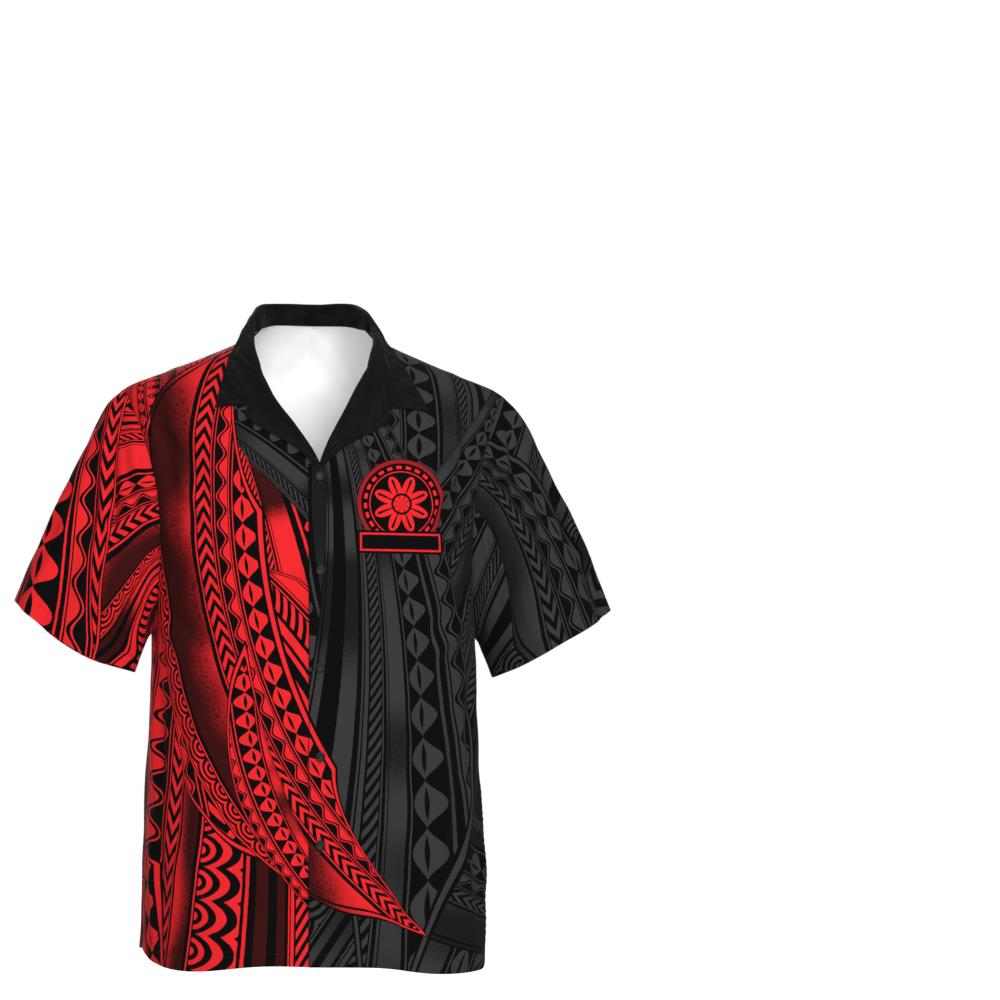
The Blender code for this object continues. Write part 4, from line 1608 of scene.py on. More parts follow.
class Effects:
    """The shared effects of the finishes, each built once as a node group."""

    def __init__(self) -> None:
        """Builds the node groups."""
        self.weave = self.build_weave()
        self.rumple = self.build_rumple()
        self.motifs = self.build_motifs()
        self.print_pick = self.build_pick()

    def build_weave(self) -> bpy.types.NodeTree:
        """Plain weave: threads over and under one another, as a height and a faint tone.

        Returns:
            The node group.
        """
        g, given, out = new_group(
            "plain_weave",
            [("Vector", "NodeSocketVector", None), ("Threads", "NodeSocketFloat", 2600.0)],
            [("Height", "NodeSocketFloat"), ("Tone", "NodeSocketFloat")],
        )
        cut = g.split(given.outputs["Vector"])
        warp, weft = (g.math("SINE", g.math("MULTIPLY", cut[k], given.outputs["Threads"])) for k in (0, 1))
        cell = g.math("MULTIPLY", warp, weft)
        slub = g.noise(given.outputs["Vector"], 900.0, 3.0)
        height = g.math("ADD", g.math("MULTIPLY", cell, 0.5), slub)
        g.feed(out.inputs["Height"], height)
        g.feed(out.inputs["Tone"], g.ramp(slub, 0.3, 0.7, 0.94, 1.04))
        return g.tree

    def build_rumple(self) -> bpy.types.NodeTree:
        """The faint unevenness of washed cloth, as a height.

        Returns:
            The node group.
        """
        g, given, out = new_group(
            "soft_rumple",
            [("Vector", "NodeSocketVector", None)],
            [("Height", "NodeSocketFloat")],
        )
        broad = g.noise(given.outputs["Vector"], 26.0, 2.0)
        fine = g.noise(given.outputs["Vector"], 90.0, 3.0)
        g.feed(out.inputs["Height"], g.math("ADD", broad, g.math("MULTIPLY", fine, 0.18)))
        return g.tree

    def build_motifs(self) -> bpy.types.NodeTree:
        """Eight kinds of strip by number: bands, chevrons, twins, leaves, glows, combs, waves, scallops.

        Returns:
            The node group.
        """
        g, given, out = new_group(
            "strip_motifs",
            [
                ("Strip", "NodeSocketFloat", 0.0),
                ("Along", "NodeSocketFloat", 0.0),
                ("Inside", "NodeSocketFloat", 1.0),
                ("Shift", "NodeSocketFloat", 0.0),
            ],
            [(name, "NodeSocketFloat") for name in ("Ink", "Band", "Glow", "Place", "Number")],
        )
        strip, along = given.outputs["Strip"], given.outputs["Along"]
        number = g.math("FLOOR", strip)
        place = g.math("SUBTRACT", strip, number)
        off = g.math("ABSOLUTE", g.math("SUBTRACT", place, 0.5))
        rise = g.math("MULTIPLY", g.math("SUBTRACT", place, 0.5), 3.0)
        reach = g.math("ABSOLUTE", rise)
        kind = g.math("FLOORED_MODULO", g.math("MULTIPLY_ADD", number, 3.0, given.outputs["Shift"]), 8.0)
        core = g.math("LESS_THAN", off, 0.34)

        solid = g.math("LESS_THAN", off, 0.43)
        band = g.math("SUBTRACT", solid, g.between(place, 0.16, 0.205))
        twin = g.math("SUBTRACT", solid, g.between(place, 0.36, 0.64))
        slant = g.math("MULTIPLY_ADD", reach, 0.8, g.math("MULTIPLY", along, 1.75))
        chevrons = g.math("LESS_THAN", g.math("FRACT", slant), 0.5)
        swell = g.math("MULTIPLY", g.math("SINE", g.math("MULTIPLY", along, math.tau * 0.95)), 0.62)
        crest = g.math("SUBTRACT", rise, swell)
        waves = g.math("ADD", g.math("LESS_THAN", crest, -0.3), g.between(crest, 0.05, 0.28))
        beat = g.math("SUBTRACT", g.math("FRACT", g.math("MULTIPLY", along, 0.9)), 0.5)
        arch = g.math("POWER", g.math("COSINE", g.math("MULTIPLY", beat, math.pi)), 1.35)
        leaf = g.math("LESS_THAN", reach, arch)
        vein = g.math("LESS_THAN", reach, g.math("MULTIPLY", g.math("SUBTRACT", arch, 0.3), 0.24))
        leaves = g.math("SUBTRACT", leaf, g.math("MULTIPLY", vein, leaf))
        teeth = g.math("LESS_THAN", g.math("FRACT", g.math("MULTIPLY_ADD", along, 2.7, rise)), 0.52)
        toothed = g.math("MULTIPLY", teeth, g.math("GREATER_THAN", place, 0.36))
        combs = g.math("ADD", toothed, g.between(place, 0.16, 0.29))
        cell = g.math("SUBTRACT", g.math("FRACT", g.math("MULTIPLY", along, 1.15)), 0.5)
        side = g.math("MULTIPLY", cell, 2.6)
        foot = g.math("ADD", rise, 1.05)
        bow = g.math("SQRT", g.math("ADD", g.math("MULTIPLY", side, side), g.math("MULTIPLY", foot, foot)))
        scallops = g.math("LESS_THAN", g.math("FRACT", g.math("MULTIPLY", bow, 1.5)), 0.5)

        motifs = (band, chevrons, twin, leaves, solid, combs, waves, scallops)
        inner = 0.0
        for order, motif in enumerate(motifs):
            chosen = g.math("COMPARE", kind, float(order), 0.4)
            shown = motif if order in (0, 2, 4) else g.math("MULTIPLY", motif, core)
            inner = g.math("MULTIPLY_ADD", chosen, shown, inner)
        glow = g.math("COMPARE", kind, 4.0, 0.4)
        plain = g.math("ADD", g.math("COMPARE", kind, 0.0, 0.4), g.math("COMPARE", kind, 2.0, 0.4))
        plain = g.math("ADD", plain, glow)
        lines = g.math("MULTIPLY", g.between(off, 0.385, 0.44), g.math("SUBTRACT", 1.0, plain))
        ink = g.math("MAXIMUM", inner, lines)
        inside = given.outputs["Inside"]
        kept = g.math("MULTIPLY", ink, g.math("GREATER_THAN", inside, 0.19))
        rim = g.between(inside, 0.055, 0.135)
        g.feed(out.inputs["Ink"], g.math("MAXIMUM", kept, rim, clamp=True))
        for name, value in (("Band", plain), ("Glow", glow), ("Place", place), ("Number", number)):
            g.feed(out.inputs[name], value)
        return g.tree

    def build_pick(self) -> bpy.types.NodeTree:
        """Lays one family of strips under those already picked.

        Returns:
            The node group.
        """
        g, given, out = new_group(
            "family_pick",
            [
                ("Taken", "NodeSocketFloat", 0.0),
                ("Picked", "NodeSocketVector", None),
                ("Mark", "NodeSocketVector", None),
                ("Family", "NodeSocketVector", None),
                ("Family Mark", "NodeSocketVector", None),
            ],
            [("Taken", "NodeSocketFloat"), ("Picked", "NodeSocketVector"), ("Mark", "NodeSocketVector")],
        )
        here = g.math("GREATER_THAN", g.split(given.outputs["Family"])[2], 0.0)
        free = g.math("MULTIPLY", here, g.math("SUBTRACT", 1.0, given.outputs["Taken"]))
        for name, family in (("Picked", "Family"), ("Mark", "Family Mark")):
            added = g.node("ShaderNodeVectorMath", operation="ADD")
            g.feed(added.inputs[0], given.outputs[name])
            g.feed(added.inputs[1], g.scaled(given.outputs[family], free))
            g.feed(out.inputs[name], added.outputs[0])
        g.feed(out.inputs["Taken"], g.math("MAXIMUM", given.outputs["Taken"], here))
        return g.tree


@dataclass(frozen=True)
class ClothFinish:
    """A woven cloth: its colour, and how it takes the light.

    Attributes:
        colour: Base colour.
        roughness: Roughness of the threads.
        sheen: Weight of the soft sheen.
        specular: Level of the gloss.
        weave_depth: Depth of the weave, in metres.
        rumple_depth: Depth of the unevenness, in metres.
        mottle: How far the colour of plain cloth varies in random blotches; on the black cloth they are
            strong enough to be painted shade and light in place of soft wrinkles.
    """

    colour: tuple[float, float, float]
    roughness: float = 0.85
    sheen: float = 0.012
    specular: float = 0.05
    weave_depth: float = 0.00004
    rumple_depth: float = 0.0018
    mottle: float = 0.12

    def surface(
        self, name: str, effects: Effects
    ) -> tuple[bpy.types.Material, Graph, bpy.types.Node, bpy.types.NodeSocket, bpy.types.NodeSocket]:
        """The material with its weave, before its colour is set.

        Args:
            name: The material's name.
            effects: The shared effects.

        Returns:
            The material, its graph, its shader, the cloth map's vector and the weave's tone.
        """
        made, g, shader = new_material(
            name,
            Roughness=self.roughness,
            Sheen_Weight=self.sheen,
            Sheen_Roughness=0.5,
            Specular_IOR_Level=self.specular,
        )
        cut = g.node("ShaderNodeUVMap", uv_map=CLOTH_MAP).outputs[0]
        weave = g.effect(effects.weave, Vector=cut)
        rumple = g.effect(effects.rumple, Vector=cut)
        broad = g.node("ShaderNodeBump")
        g.feed(broad.inputs["Distance"], self.rumple_depth)
        g.feed(broad.inputs["Height"], rumple.outputs["Height"])
        fine = g.node("ShaderNodeBump")
        g.feed(fine.inputs["Distance"], self.weave_depth)
        g.feed(fine.inputs["Height"], weave.outputs["Height"])
        g.feed(fine.inputs["Normal"], broad.outputs[0])
        g.feed(shader.inputs["Normal"], fine.outputs[0])
        return made, g, shader, cut, weave.outputs["Tone"]

    def build(self, name: str, effects: Effects) -> bpy.types.Material:
        """The finished plain cloth.

        Args:
            name: The material's name.
            effects: The shared effects.

        Returns:
            The material.
        """
        made, g, shader, cut, tone = self.surface(name, effects)
        # Random lighter and darker blotches: a faint tone on the white cloth; on the black cloth, painted
        # shade and light standing in for the shading of soft wrinkles.
        tone_and_painted_shade = g.ramp(g.noise(cut, 34.0, 3.0), 0.35, 0.75, 1.0 - self.mottle, 1.0 + self.mottle)
        g.feed(shader.inputs["Base Color"], g.scaled(self.colour, g.math("MULTIPLY", tone, tone_and_painted_shade)))
        return made


@dataclass(frozen=True)
class PrintFinish(ClothFinish):
    """Cloth with the strip print in red and charcoal on black.

    Attributes:
        red: The bright red ink.
        deep_red: The red where a band is shaded.
        charcoal: The pale ink of the other side.
        deep_charcoal: That ink where a band is shaded.
        neck_margin: The cloth is bare past this distance from the middle where it is above this height.
    """

    red: Colour = (0.56, 0.014, 0.017, 1.0)
    deep_red: Colour = (0.030, 0.003, 0.003, 1.0)
    charcoal: Colour = (0.0262, 0.0262, 0.0267, 1.0)
    deep_charcoal: Colour = (0.0065, 0.0065, 0.007, 1.0)
    neck_margin: tuple[float, float] = (0.055, 0.0085)

    def build_print(
        self, name: str, effects: Effects, sweeps: Sequence[Sweep], crest: Optional["Crest"]
    ) -> bpy.types.Material:
        """The finished printed cloth.

        Args:
            name: The material's name.
            effects: The shared effects.
            sweeps: The families of strips, the topmost first; the last fills what is left.
            crest: The round emblem on the chest, or None.

        Returns:
            The material.
        """
        made, g, shader, cut, tone = self.surface(name, effects)
        wobble = g.node("ShaderNodeTexNoise")
        g.feed(wobble.inputs["Vector"], cut)
        g.feed(wobble.inputs["Scale"], 120.0)
        shake = g.node("ShaderNodeVectorMath", operation="MULTIPLY_ADD")
        g.feed(shake.inputs[0], wobble.outputs["Color"])
        g.feed(shake.inputs[1], (0.02, 0.02, 0.0))
        g.feed(shake.inputs[2], (-0.01, -0.01, 0.0))
        taken, picked, mark = 0.0, (0.0, 0.0, 0.0), (0.0, 0.0, 0.0)
        for number, sweep in enumerate(sweeps, start=1):
            family = g.node("ShaderNodeAttribute", attribute_name=f"sweep_{number}").outputs["Vector"]
            step = g.effect(
                effects.print_pick,
                Taken=taken,
                Picked=picked,
                Mark=mark,
                Family=family,
                Family_Mark=(sweep.ink.value, float(sweep.shift), float(number)),
            )
            taken, picked, mark = (step.outputs[k] for k in ("Taken", "Picked", "Mark"))
        shaken = g.node("ShaderNodeVectorMath", operation="ADD")
        g.feed(shaken.inputs[0], picked)
        g.feed(shaken.inputs[1], shake.outputs[0])
        strip, along, inside = g.split(shaken.outputs[0])
        red, shift, number = g.split(mark)
        motif = g.effect(effects.motifs, Strip=strip, Along=along, Inside=inside, Shift=shift)
        run = g.node("ShaderNodeCombineXYZ")
        g.feed(run.inputs[0], g.math("MULTIPLY", along, 0.22))
        g.feed(run.inputs[1], g.math("MULTIPLY_ADD", motif.outputs["Number"], 3.7, number))
        cloud = g.noise(run.outputs[0], 1.0, 1.0)
        tilt = g.math("MULTIPLY_ADD", motif.outputs["Place"], 0.4, g.math("SUBTRACT", cloud, 0.2))
        glow = g.math("MULTIPLY", g.ramp(tilt, 0.16, 0.56), motif.outputs["Glow"])
        shaded = g.math("MULTIPLY", g.ramp(cloud, 0.44, 0.62), motif.outputs["Band"])
        unlit = g.math("SUBTRACT", 1.0, motif.outputs["Glow"])
        shaded = g.math("MAXIMUM", g.math("MULTIPLY", shaded, unlit), glow)
        bright = g.mix(red, self.charcoal, self.red)
        deep = g.mix(red, self.deep_charcoal, self.deep_red)
        crazed = g.node("ShaderNodeTexVoronoi", feature="DISTANCE_TO_EDGE")
        g.feed(crazed.inputs["Vector"], cut)
        g.feed(crazed.inputs["Scale"], 210.0)
        lines = g.math("MULTIPLY", g.math("LESS_THAN", crazed.outputs["Distance"], 0.05), 0.45)
        ink = g.mix(g.math("ADD", shaded, g.math("MULTIPLY", lines, shaded), clamp=True), bright, deep)
        spot = g.split(g.node("ShaderNodeTexCoord").outputs["Object"])
        aside = g.math("GREATER_THAN", g.math("ABSOLUTE", spot[0]), self.neck_margin[0])
        hidden = g.math("MULTIPLY", aside, g.math("GREATER_THAN", spot[2], self.neck_margin[1]))
        inked = g.math("MULTIPLY", motif.outputs["Ink"], g.math("SUBTRACT", 1.0, hidden))
        colour = g.mix(inked, (*self.colour, 1.0), ink)
        if crest is not None:
            colour = crest.overlay(g, cut, colour, self)
        g.feed(shader.inputs["Base Color"], g.scaled(colour, tone))
        return made


@dataclass(frozen=True)
class Crest:
    """A plain round emblem on the chest, rings round a rosette, with an empty bar under it.

    Attributes:
        centre: Middle of the rings on the flat cut, in metres.
        radius: Outer radius of the rings.
        bar_drop: How far under the middle the bar lies.
        bar_size: Half its width and half its height.
        ring_red: The red of the outer ring.
    """

    centre: tuple[float, float] = (0.094, -0.186)
    radius: float = 0.0525
    bar_drop: float = 0.044
    bar_size: tuple[float, float] = (0.049, 0.0105)
    ring_red: Colour = (0.22, 0.008, 0.010, 1.0)

    def overlay(
        self, g: Graph, cut: bpy.types.NodeSocket, under: bpy.types.NodeSocket, finish: PrintFinish
    ) -> bpy.types.NodeSocket:
        """The print's colour with the emblem over it.

        Args:
            g: The material's graph.
            cut: The cloth map's vector.
            under: The print's colour.
            finish: The print's inks.

        Returns:
            The colour.
        """
        over, up = (
            g.math("DIVIDE", g.math("SUBTRACT", part, middle), self.radius)
            for part, middle in zip(g.split(cut), self.centre)
        )
        r = g.math("SQRT", g.math("ADD", g.math("MULTIPLY", over, over), g.math("MULTIPLY", up, up)))
        turn = g.math("ARCTAN2", up, over)
        disc = g.math("LESS_THAN", r, 1.0)
        ring = g.between(r, 0.90, 0.985)
        hairline = g.between(r, 0.70, 0.725)
        beads_at = g.math("SINE", g.math("MULTIPLY", turn, 24.0))
        beads = g.math("MULTIPLY", g.between(r, 0.775, 0.845), g.math("GREATER_THAN", beads_at, -0.25))
        swung = g.math("MULTIPLY", turn, 4.0)
        petal_line = g.math("MULTIPLY_ADD", g.math("ABSOLUTE", g.math("SINE", swung)), 0.34, 0.30)
        petals = g.math("MULTIPLY", g.math("LESS_THAN", r, petal_line), g.math("GREATER_THAN", r, 0.235))
        inset = g.math("LESS_THAN", r, g.math("SUBTRACT", petal_line, 0.07))
        middle = g.math("LESS_THAN", g.math("ABSOLUTE", g.math("COSINE", swung)), 0.2)
        vein = g.math("MULTIPLY", inset, middle)
        core = g.math("LESS_THAN", r, 0.185)
        drawn = g.math("ADD", g.math("ADD", hairline, core), g.math("SUBTRACT", petals, vein), clamp=True)
        drawn = g.math("ADD", drawn, beads, clamp=True)
        half_wide, half_tall = (value / self.radius for value in self.bar_size)
        drop = g.math("ADD", up, self.bar_drop / self.radius)
        aside = g.math("SUBTRACT", g.math("ABSOLUTE", over), half_wide)
        inner = g.math("MAXIMUM", aside, g.math("SUBTRACT", g.math("ABSOLUTE", drop), half_tall))
        bar = g.math("LESS_THAN", inner, 0.05)
        bar_line = g.between(inner, -0.045, 0.0)
        ground = g.mix(disc, under, (*finish.colour, 1.0))
        ringed = g.mix(ring, ground, self.ring_red)
        marked = g.mix(g.math("MULTIPLY", drawn, disc), ringed, finish.red)
        barred = g.mix(bar, marked, (*finish.colour, 1.0))
        return g.mix(bar_line, barred, finish.red)


@dataclass(frozen=True)
class ResinFinish:
    """Satin resin of the buttons.

    Attributes:
        colour: Base colour.
        clouded: Colour where the resin is clouded.
        roughness: Roughness where it isn't scuffed.
        scuff: How much rougher it is where it is.
    """

    colour: Colour = (0.0022, 0.0022, 0.0024, 1.0)
    clouded: Colour = (0.005, 0.0048, 0.0048, 1.0)
    roughness: float = 0.36
    scuff: float = 0.16

    def build(self, name: str) -> bpy.types.Material:
        """The finished material, faintly clouded and scuffed.

        Args:
            name: The material's name.

        Returns:
            The material.
        """
        made, g, shader = new_material(name, Specular_IOR_Level=0.22)
        place = g.node("ShaderNodeTexCoord").outputs["Object"]
        cloud = g.ramp(g.noise(place, 260.0, 3.0), 0.4, 0.7)
        g.feed(shader.inputs["Base Color"], g.mix(cloud, self.colour, self.clouded))
        worn = g.ramp(g.noise(place, 900.0, 4.0), 0.35, 0.7, self.roughness, self.roughness + self.scuff)
        g.feed(shader.inputs["Roughness"], worn)
        return made


@dataclass(frozen=True)
class ThreadFinish:
    """Matt sewing thread.

    Attributes:
        colour: Base colour.
        lit: Colour painted on top of each twist, as a highlight.
    """

    colour: Colour = (0.005, 0.005, 0.0052, 1.0)
    lit: Colour = (0.014, 0.014, 0.0145, 1.0)

    def build(self, name: str) -> bpy.types.Material:
        """The finished material, with a painted highlight on each twist of the thread, as fine bands.

        Args:
            name: The material's name.

        Returns:
            The material.
        """
        made, g, shader = new_material(name, Roughness=0.7)
        twist = g.node("ShaderNodeTexWave")
        g.feed(twist.inputs["Vector"], g.node("ShaderNodeTexCoord").outputs["Object"])
        g.feed(twist.inputs["Scale"], 900.0)
        # Painted highlight: fine bands of lighter colour on top of each twist.
        g.feed(shader.inputs["Base Color"], g.mix(twist.outputs["Fac"], self.colour, self.lit))
        return made


@dataclass
class BodyPanel:
    """A printed panel of the body with its hem.

    Attributes:
        name: The piece's name, which is also its solid's.
        face: Front or back.
        hands: The halves that it is made of.
        drape: Its small creases.
        cut: Width and length of the flat cut, in metres; not used.
        cut_area: Area of the flat cut, in square metres; not used.
        wall: Thickness of the cloth.
        hem: Height of the hem.
        hem_radius: Radius of the hem's fold.
        seam_depth: How far the sewn edges roll in.
        calm_edge: Over what length the front's own edge calms the creases.
        roll_pull: How far the shoulder's roll runs on before it turns down, as a share.
        roll_reach: Length of the last rows at which the roll starts to give way, and at which it has.
        neck_reach: Distance from the neck point at which the roll starts, and at which it is full.
        fine_rows: Fine rows in a coarse one of the body.
        fine_columns: Fine columns in a coarse one.
        patch: The finished fine patch.
        rows: Each fine row's place among the coarse ones.
        columns: Each fine column's place among the coarse ones.
        parting: The column at which the back's halves meet.
        tuck: Two rows of a front's seam allowance under the back.
        tuck_depth: How deep they lie under the back.
        rolled_rows: How many of the back's last rows make the shoulder's roll.
    """

    name: str
    face: Face
    hands: Sequence[int]
    drape: Drape
    cut: tuple[float, float]
    cut_area: float
    wall: float = 0.45
    hem: float = 16.0
    hem_radius: float = 0.72
    seam_depth: float = 0.9
    calm_edge: float = 34.0
    roll_pull: float = 0.8
    roll_reach: tuple[float, float] = (12.0, 20.0)
    neck_reach: tuple[float, float] = (4, 16)
    fine_rows: int = 16
    fine_columns: int = 8
    patch: Optional[Patch] = None
    rows: Optional[Array] = None
    columns: Optional[Array] = None
    parting: Optional[int] = None
    tuck: Optional[Array] = None
    tuck_depth: float = 1.4
    rolled_rows: int = 10

    def half(self, form: ShirtForm, grid: Array, hand: int) -> Patch:
        """One half as a fine patch, without its creases and its hem.

        Args:
            form: The shirt's form.
            grid: The half's coarse points, on the wearer's left.
            hand: 1 for the wearer's left half, -1 for the right.

        Returns:
            The patch, its normals outwards.
        """
        corner = form.body_rows + form.chest_rows - 1
        corners = (corner, corner + 1, corner + 1 + form.roll_rows)
        if self.face is Face.BACK:
            corners = (form.body_rows + form.yoke_rows - form.neck_back_rows,)
        hold = corner_hold(form.columns)
        kinks = [(row, hold) for row in corners] + [(form.body_rows, hold[::-1])]
        self.rows = stops(
            form.body_rows + form.yoke_rows,
            [self.fine_rows] * form.body_rows + [7],
            first=(0.02, 0.04, 0.34, 0.36, 0.385, 0.41),
            last=(0.04, 0.1),
        )
        self.columns = stops(form.columns, [self.fine_columns], first=(0.04, 0.08), last=(0.04, 0.08))
        made = read_between(grid, self.rows, kinks)
        made = read_between(made.transpose(1, 0, 2), self.columns).transpose(1, 0, 2)
        facing = hand if self.face is Face.FRONT else -hand
        made, across, along = made[..., :3], made[..., 3] * facing, made[..., 4]
        if hand < 0:
            made = mirrored(made)
        if facing < 0:
            made, across, along = made[:, ::-1], across[:, ::-1], along[:, ::-1]
        return Patch(made, across, along)

    def shape(self, form: ShirtForm, grids: dict[int, Array]) -> None:
        """Makes the fine patch with its creases and its sewn edges.

        Args:
            form: The shirt's form.
            grids: The coarse points of each half, by hand.
        """
        plain = self.half(form, grids[self.hands[0]], self.hands[0])
        seams = ["last_row", "first_column", "last_column"]
        if self.face is Face.BACK:
            other = self.half(form, grids[self.hands[1]], self.hands[1])
            self.parting = plain.across.shape[1] - 1
            plain = Patch(
                np.concatenate([plain.points, other.points], axis=1),
                np.concatenate([plain.across, other.across], axis=1),
                np.concatenate([plain.along, other.along], axis=1),
            )
        else:
            inner = "first_column" if self.hands[0] > 0 else "last_column"
            seams.remove(inner)
        calm = plain.fade(seams, form.seam_fade) * self.beyond_collar(plain)
        if self.face is Face.FRONT:
            calm *= 0.2 + 0.8 * plain.fade([inner], self.calm_edge)
        lift = self.drape.raise_by(plain.across, plain.along) * calm
        self.patch = plain.raised(lift).sunk(seams, self.seam_depth, SEAM_REACH)
        if self.parting is not None:
            self.merge_halves(form)

    def merge_halves(self, form: ShirtForm) -> None:
        """Gives both halves the same points on the centre line, up to the neckline.

        Args:
            form: The shirt's form.
        """
        top = int(np.searchsorted(self.rows, form.body_rows + form.yoke_rows - form.neck_back_rows)) + 1
        points, c = self.patch.points, self.parting
        points[:top, c] = points[:top, c + 1] = (points[:top, c] + points[:top, c + 1]) / 2

    def beyond_collar(self, plain: Patch) -> Array:
        """A mask that is 0 under the collar and the lapels.

        Args:
            plain: The panel without its creases.

        Returns:
            The mask, by row and column.
        """
        levels = (-70, -150) if self.face is Face.FRONT else (0, -40)
        below = smoothstep(*levels, plain.points[..., 2])
        return below + (1 - below) * smoothstep(*COLLAR_SIDE, np.abs(plain.points[..., 0]))

    def edge(self, hand: int, inset: int = 0, drop: float = 0.0) -> Array:
        """The side seam and the armhole's edge of one hand, from the hem up.

        Args:
            hand: 1 for the wearer's left, -1 for the right.
            inset: How many fine columns in from the edge.
            drop: How far under the right side, in millimetres.

        Returns:
            The points.
        """
        facing = 1 if self.face is Face.FRONT else -1
        column = -1 - inset if hand * facing > 0 else inset
        points = self.patch.points[:, column]
        return points - cross_normals(self.patch.points)[:, column] * drop if drop else points

    def joined_to(self, front: "BodyPanel", form: ShirtForm) -> None:
        """Draws the back's side and shoulder edges onto those of a front.

        Args:
            front: The front panel.
            form: The shirt's form.
        """
        hand = front.hands[0]
        count = int(np.searchsorted(self.rows, form.body_rows)) + 1
        side = self.edge(hand).copy()
        side[:count] = read_line(front.edge(hand), front.rows, self.rows[:count])
        self.patch = self.patch.snapped("first_column" if hand > 0 else "last_column", side, JOIN_REACH)
        shoulder = front.patch.points[-1] if hand > 0 else front.patch.points[-1, ::-1]
        half = read_line(shoulder, front.columns, self.columns)
        top = self.patch.points[-1].copy()
        if hand > 0:
            top[: len(half)] = half[::-1]
        else:
            top[-len(half) :] = half
        self.patch = self.patch.snapped("last_row", top, JOIN_REACH)
        past_neck = smoothstep(*self.neck_reach, run_length(shoulder[:, None], 0))
        drawn = np.interp(self.columns, front.columns, past_neck[:, 0])
        over = np.zeros(len(top))
        if hand > 0:
            over[: len(half)] = drawn[::-1]
        else:
            over[-len(half) :] = drawn
        self.roll_shoulder(over)
        insets = (self.rolled_rows, self.rolled_rows + 1)
        tuck = np.array([self.under_shoulder(hand, front.columns, inset) for inset in insets])
        seam = front.patch.points[-1]
        front.tuck = seam + (tuck - seam) * (past_neck if hand > 0 else past_neck[::-1])

    def roll_shoulder(self, over: Array) -> None:
        """Leads the last rows down to the shoulder seam in one small roll, where they lie close together.

        Args:
            over: How much of it each column takes.
        """
        points, count = self.patch.points.copy(), self.rolled_rows
        start, seam = points[-1 - count], points[-1]
        normals = cross_normals(points[:-count])[-2]
        drop = np.sum((seam - start) * normals, axis=1, keepdims=True)
        bend = start + (seam - start - normals * drop) * self.roll_pull
        length = np.linalg.norm(np.diff(points[-1 - count :], axis=0), axis=2).sum(axis=0)
        share = (over * (1 - smoothstep(*self.roll_reach, length)))[:, None]
        for step in range(1, count):
            part = step / count
            rolled = start * (1 - part) ** 2 + bend * 2 * part * (1 - part) + seam * part**2
            points[step - 1 - count] += (rolled - points[step - 1 - count]) * share
        self.patch = Patch(points, self.patch.across, self.patch.along)

    def under_shoulder(self, hand: int, columns: Array, inset: int) -> Array:
        """A line under the back's shoulder, for the seam allowance of a front.

        Args:
            hand: 1 for the wearer's left, -1 for the right.
            columns: The front's columns, from the neck outwards.
            inset: How many fine rows in from the seam.

        Returns:
            The line's points, in the order of the front's own columns.
        """
        row = (self.patch.points - cross_normals(self.patch.points) * self.tuck_depth)[-1 - inset]
        count = len(self.columns)
        line = read_line(row[:count][::-1] if hand > 0 else row[-count:], self.columns, columns)
        return line if hand > 0 else line[::-1]

    def build(self, finishes: Sequence[bpy.types.Material], sweeps: Sequence[Sweep]) -> bpy.types.Object:
        """Args:
            finishes: The printed side's material and the lining's.
            sweeps: The families of strips of its print.

        Returns:
            The piece.
        """
        whole = self.patch
        if self.tuck is not None:
            across, along = whole.across[-1:], whole.along[-1:]
            whole = Patch(
                np.concatenate([whole.points, self.tuck]),
                np.concatenate([whole.across, across, across]),
                np.concatenate([whole.along, along + 1.0, along + 4.0]),
            )
        hemmed = whole.hemmed(True, self.hem, self.hem_radius, HEM_GROOVE)
        piece = cloth_object(self.name + "_cloth", hemmed, finishes, self.wall, self.parting)
        give_sweeps(piece, sweeps)
        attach(piece, BODY)
        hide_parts(self.name)
        "printed_charcoal" if self.name.endswith("left") else "printed_red"
        return piece


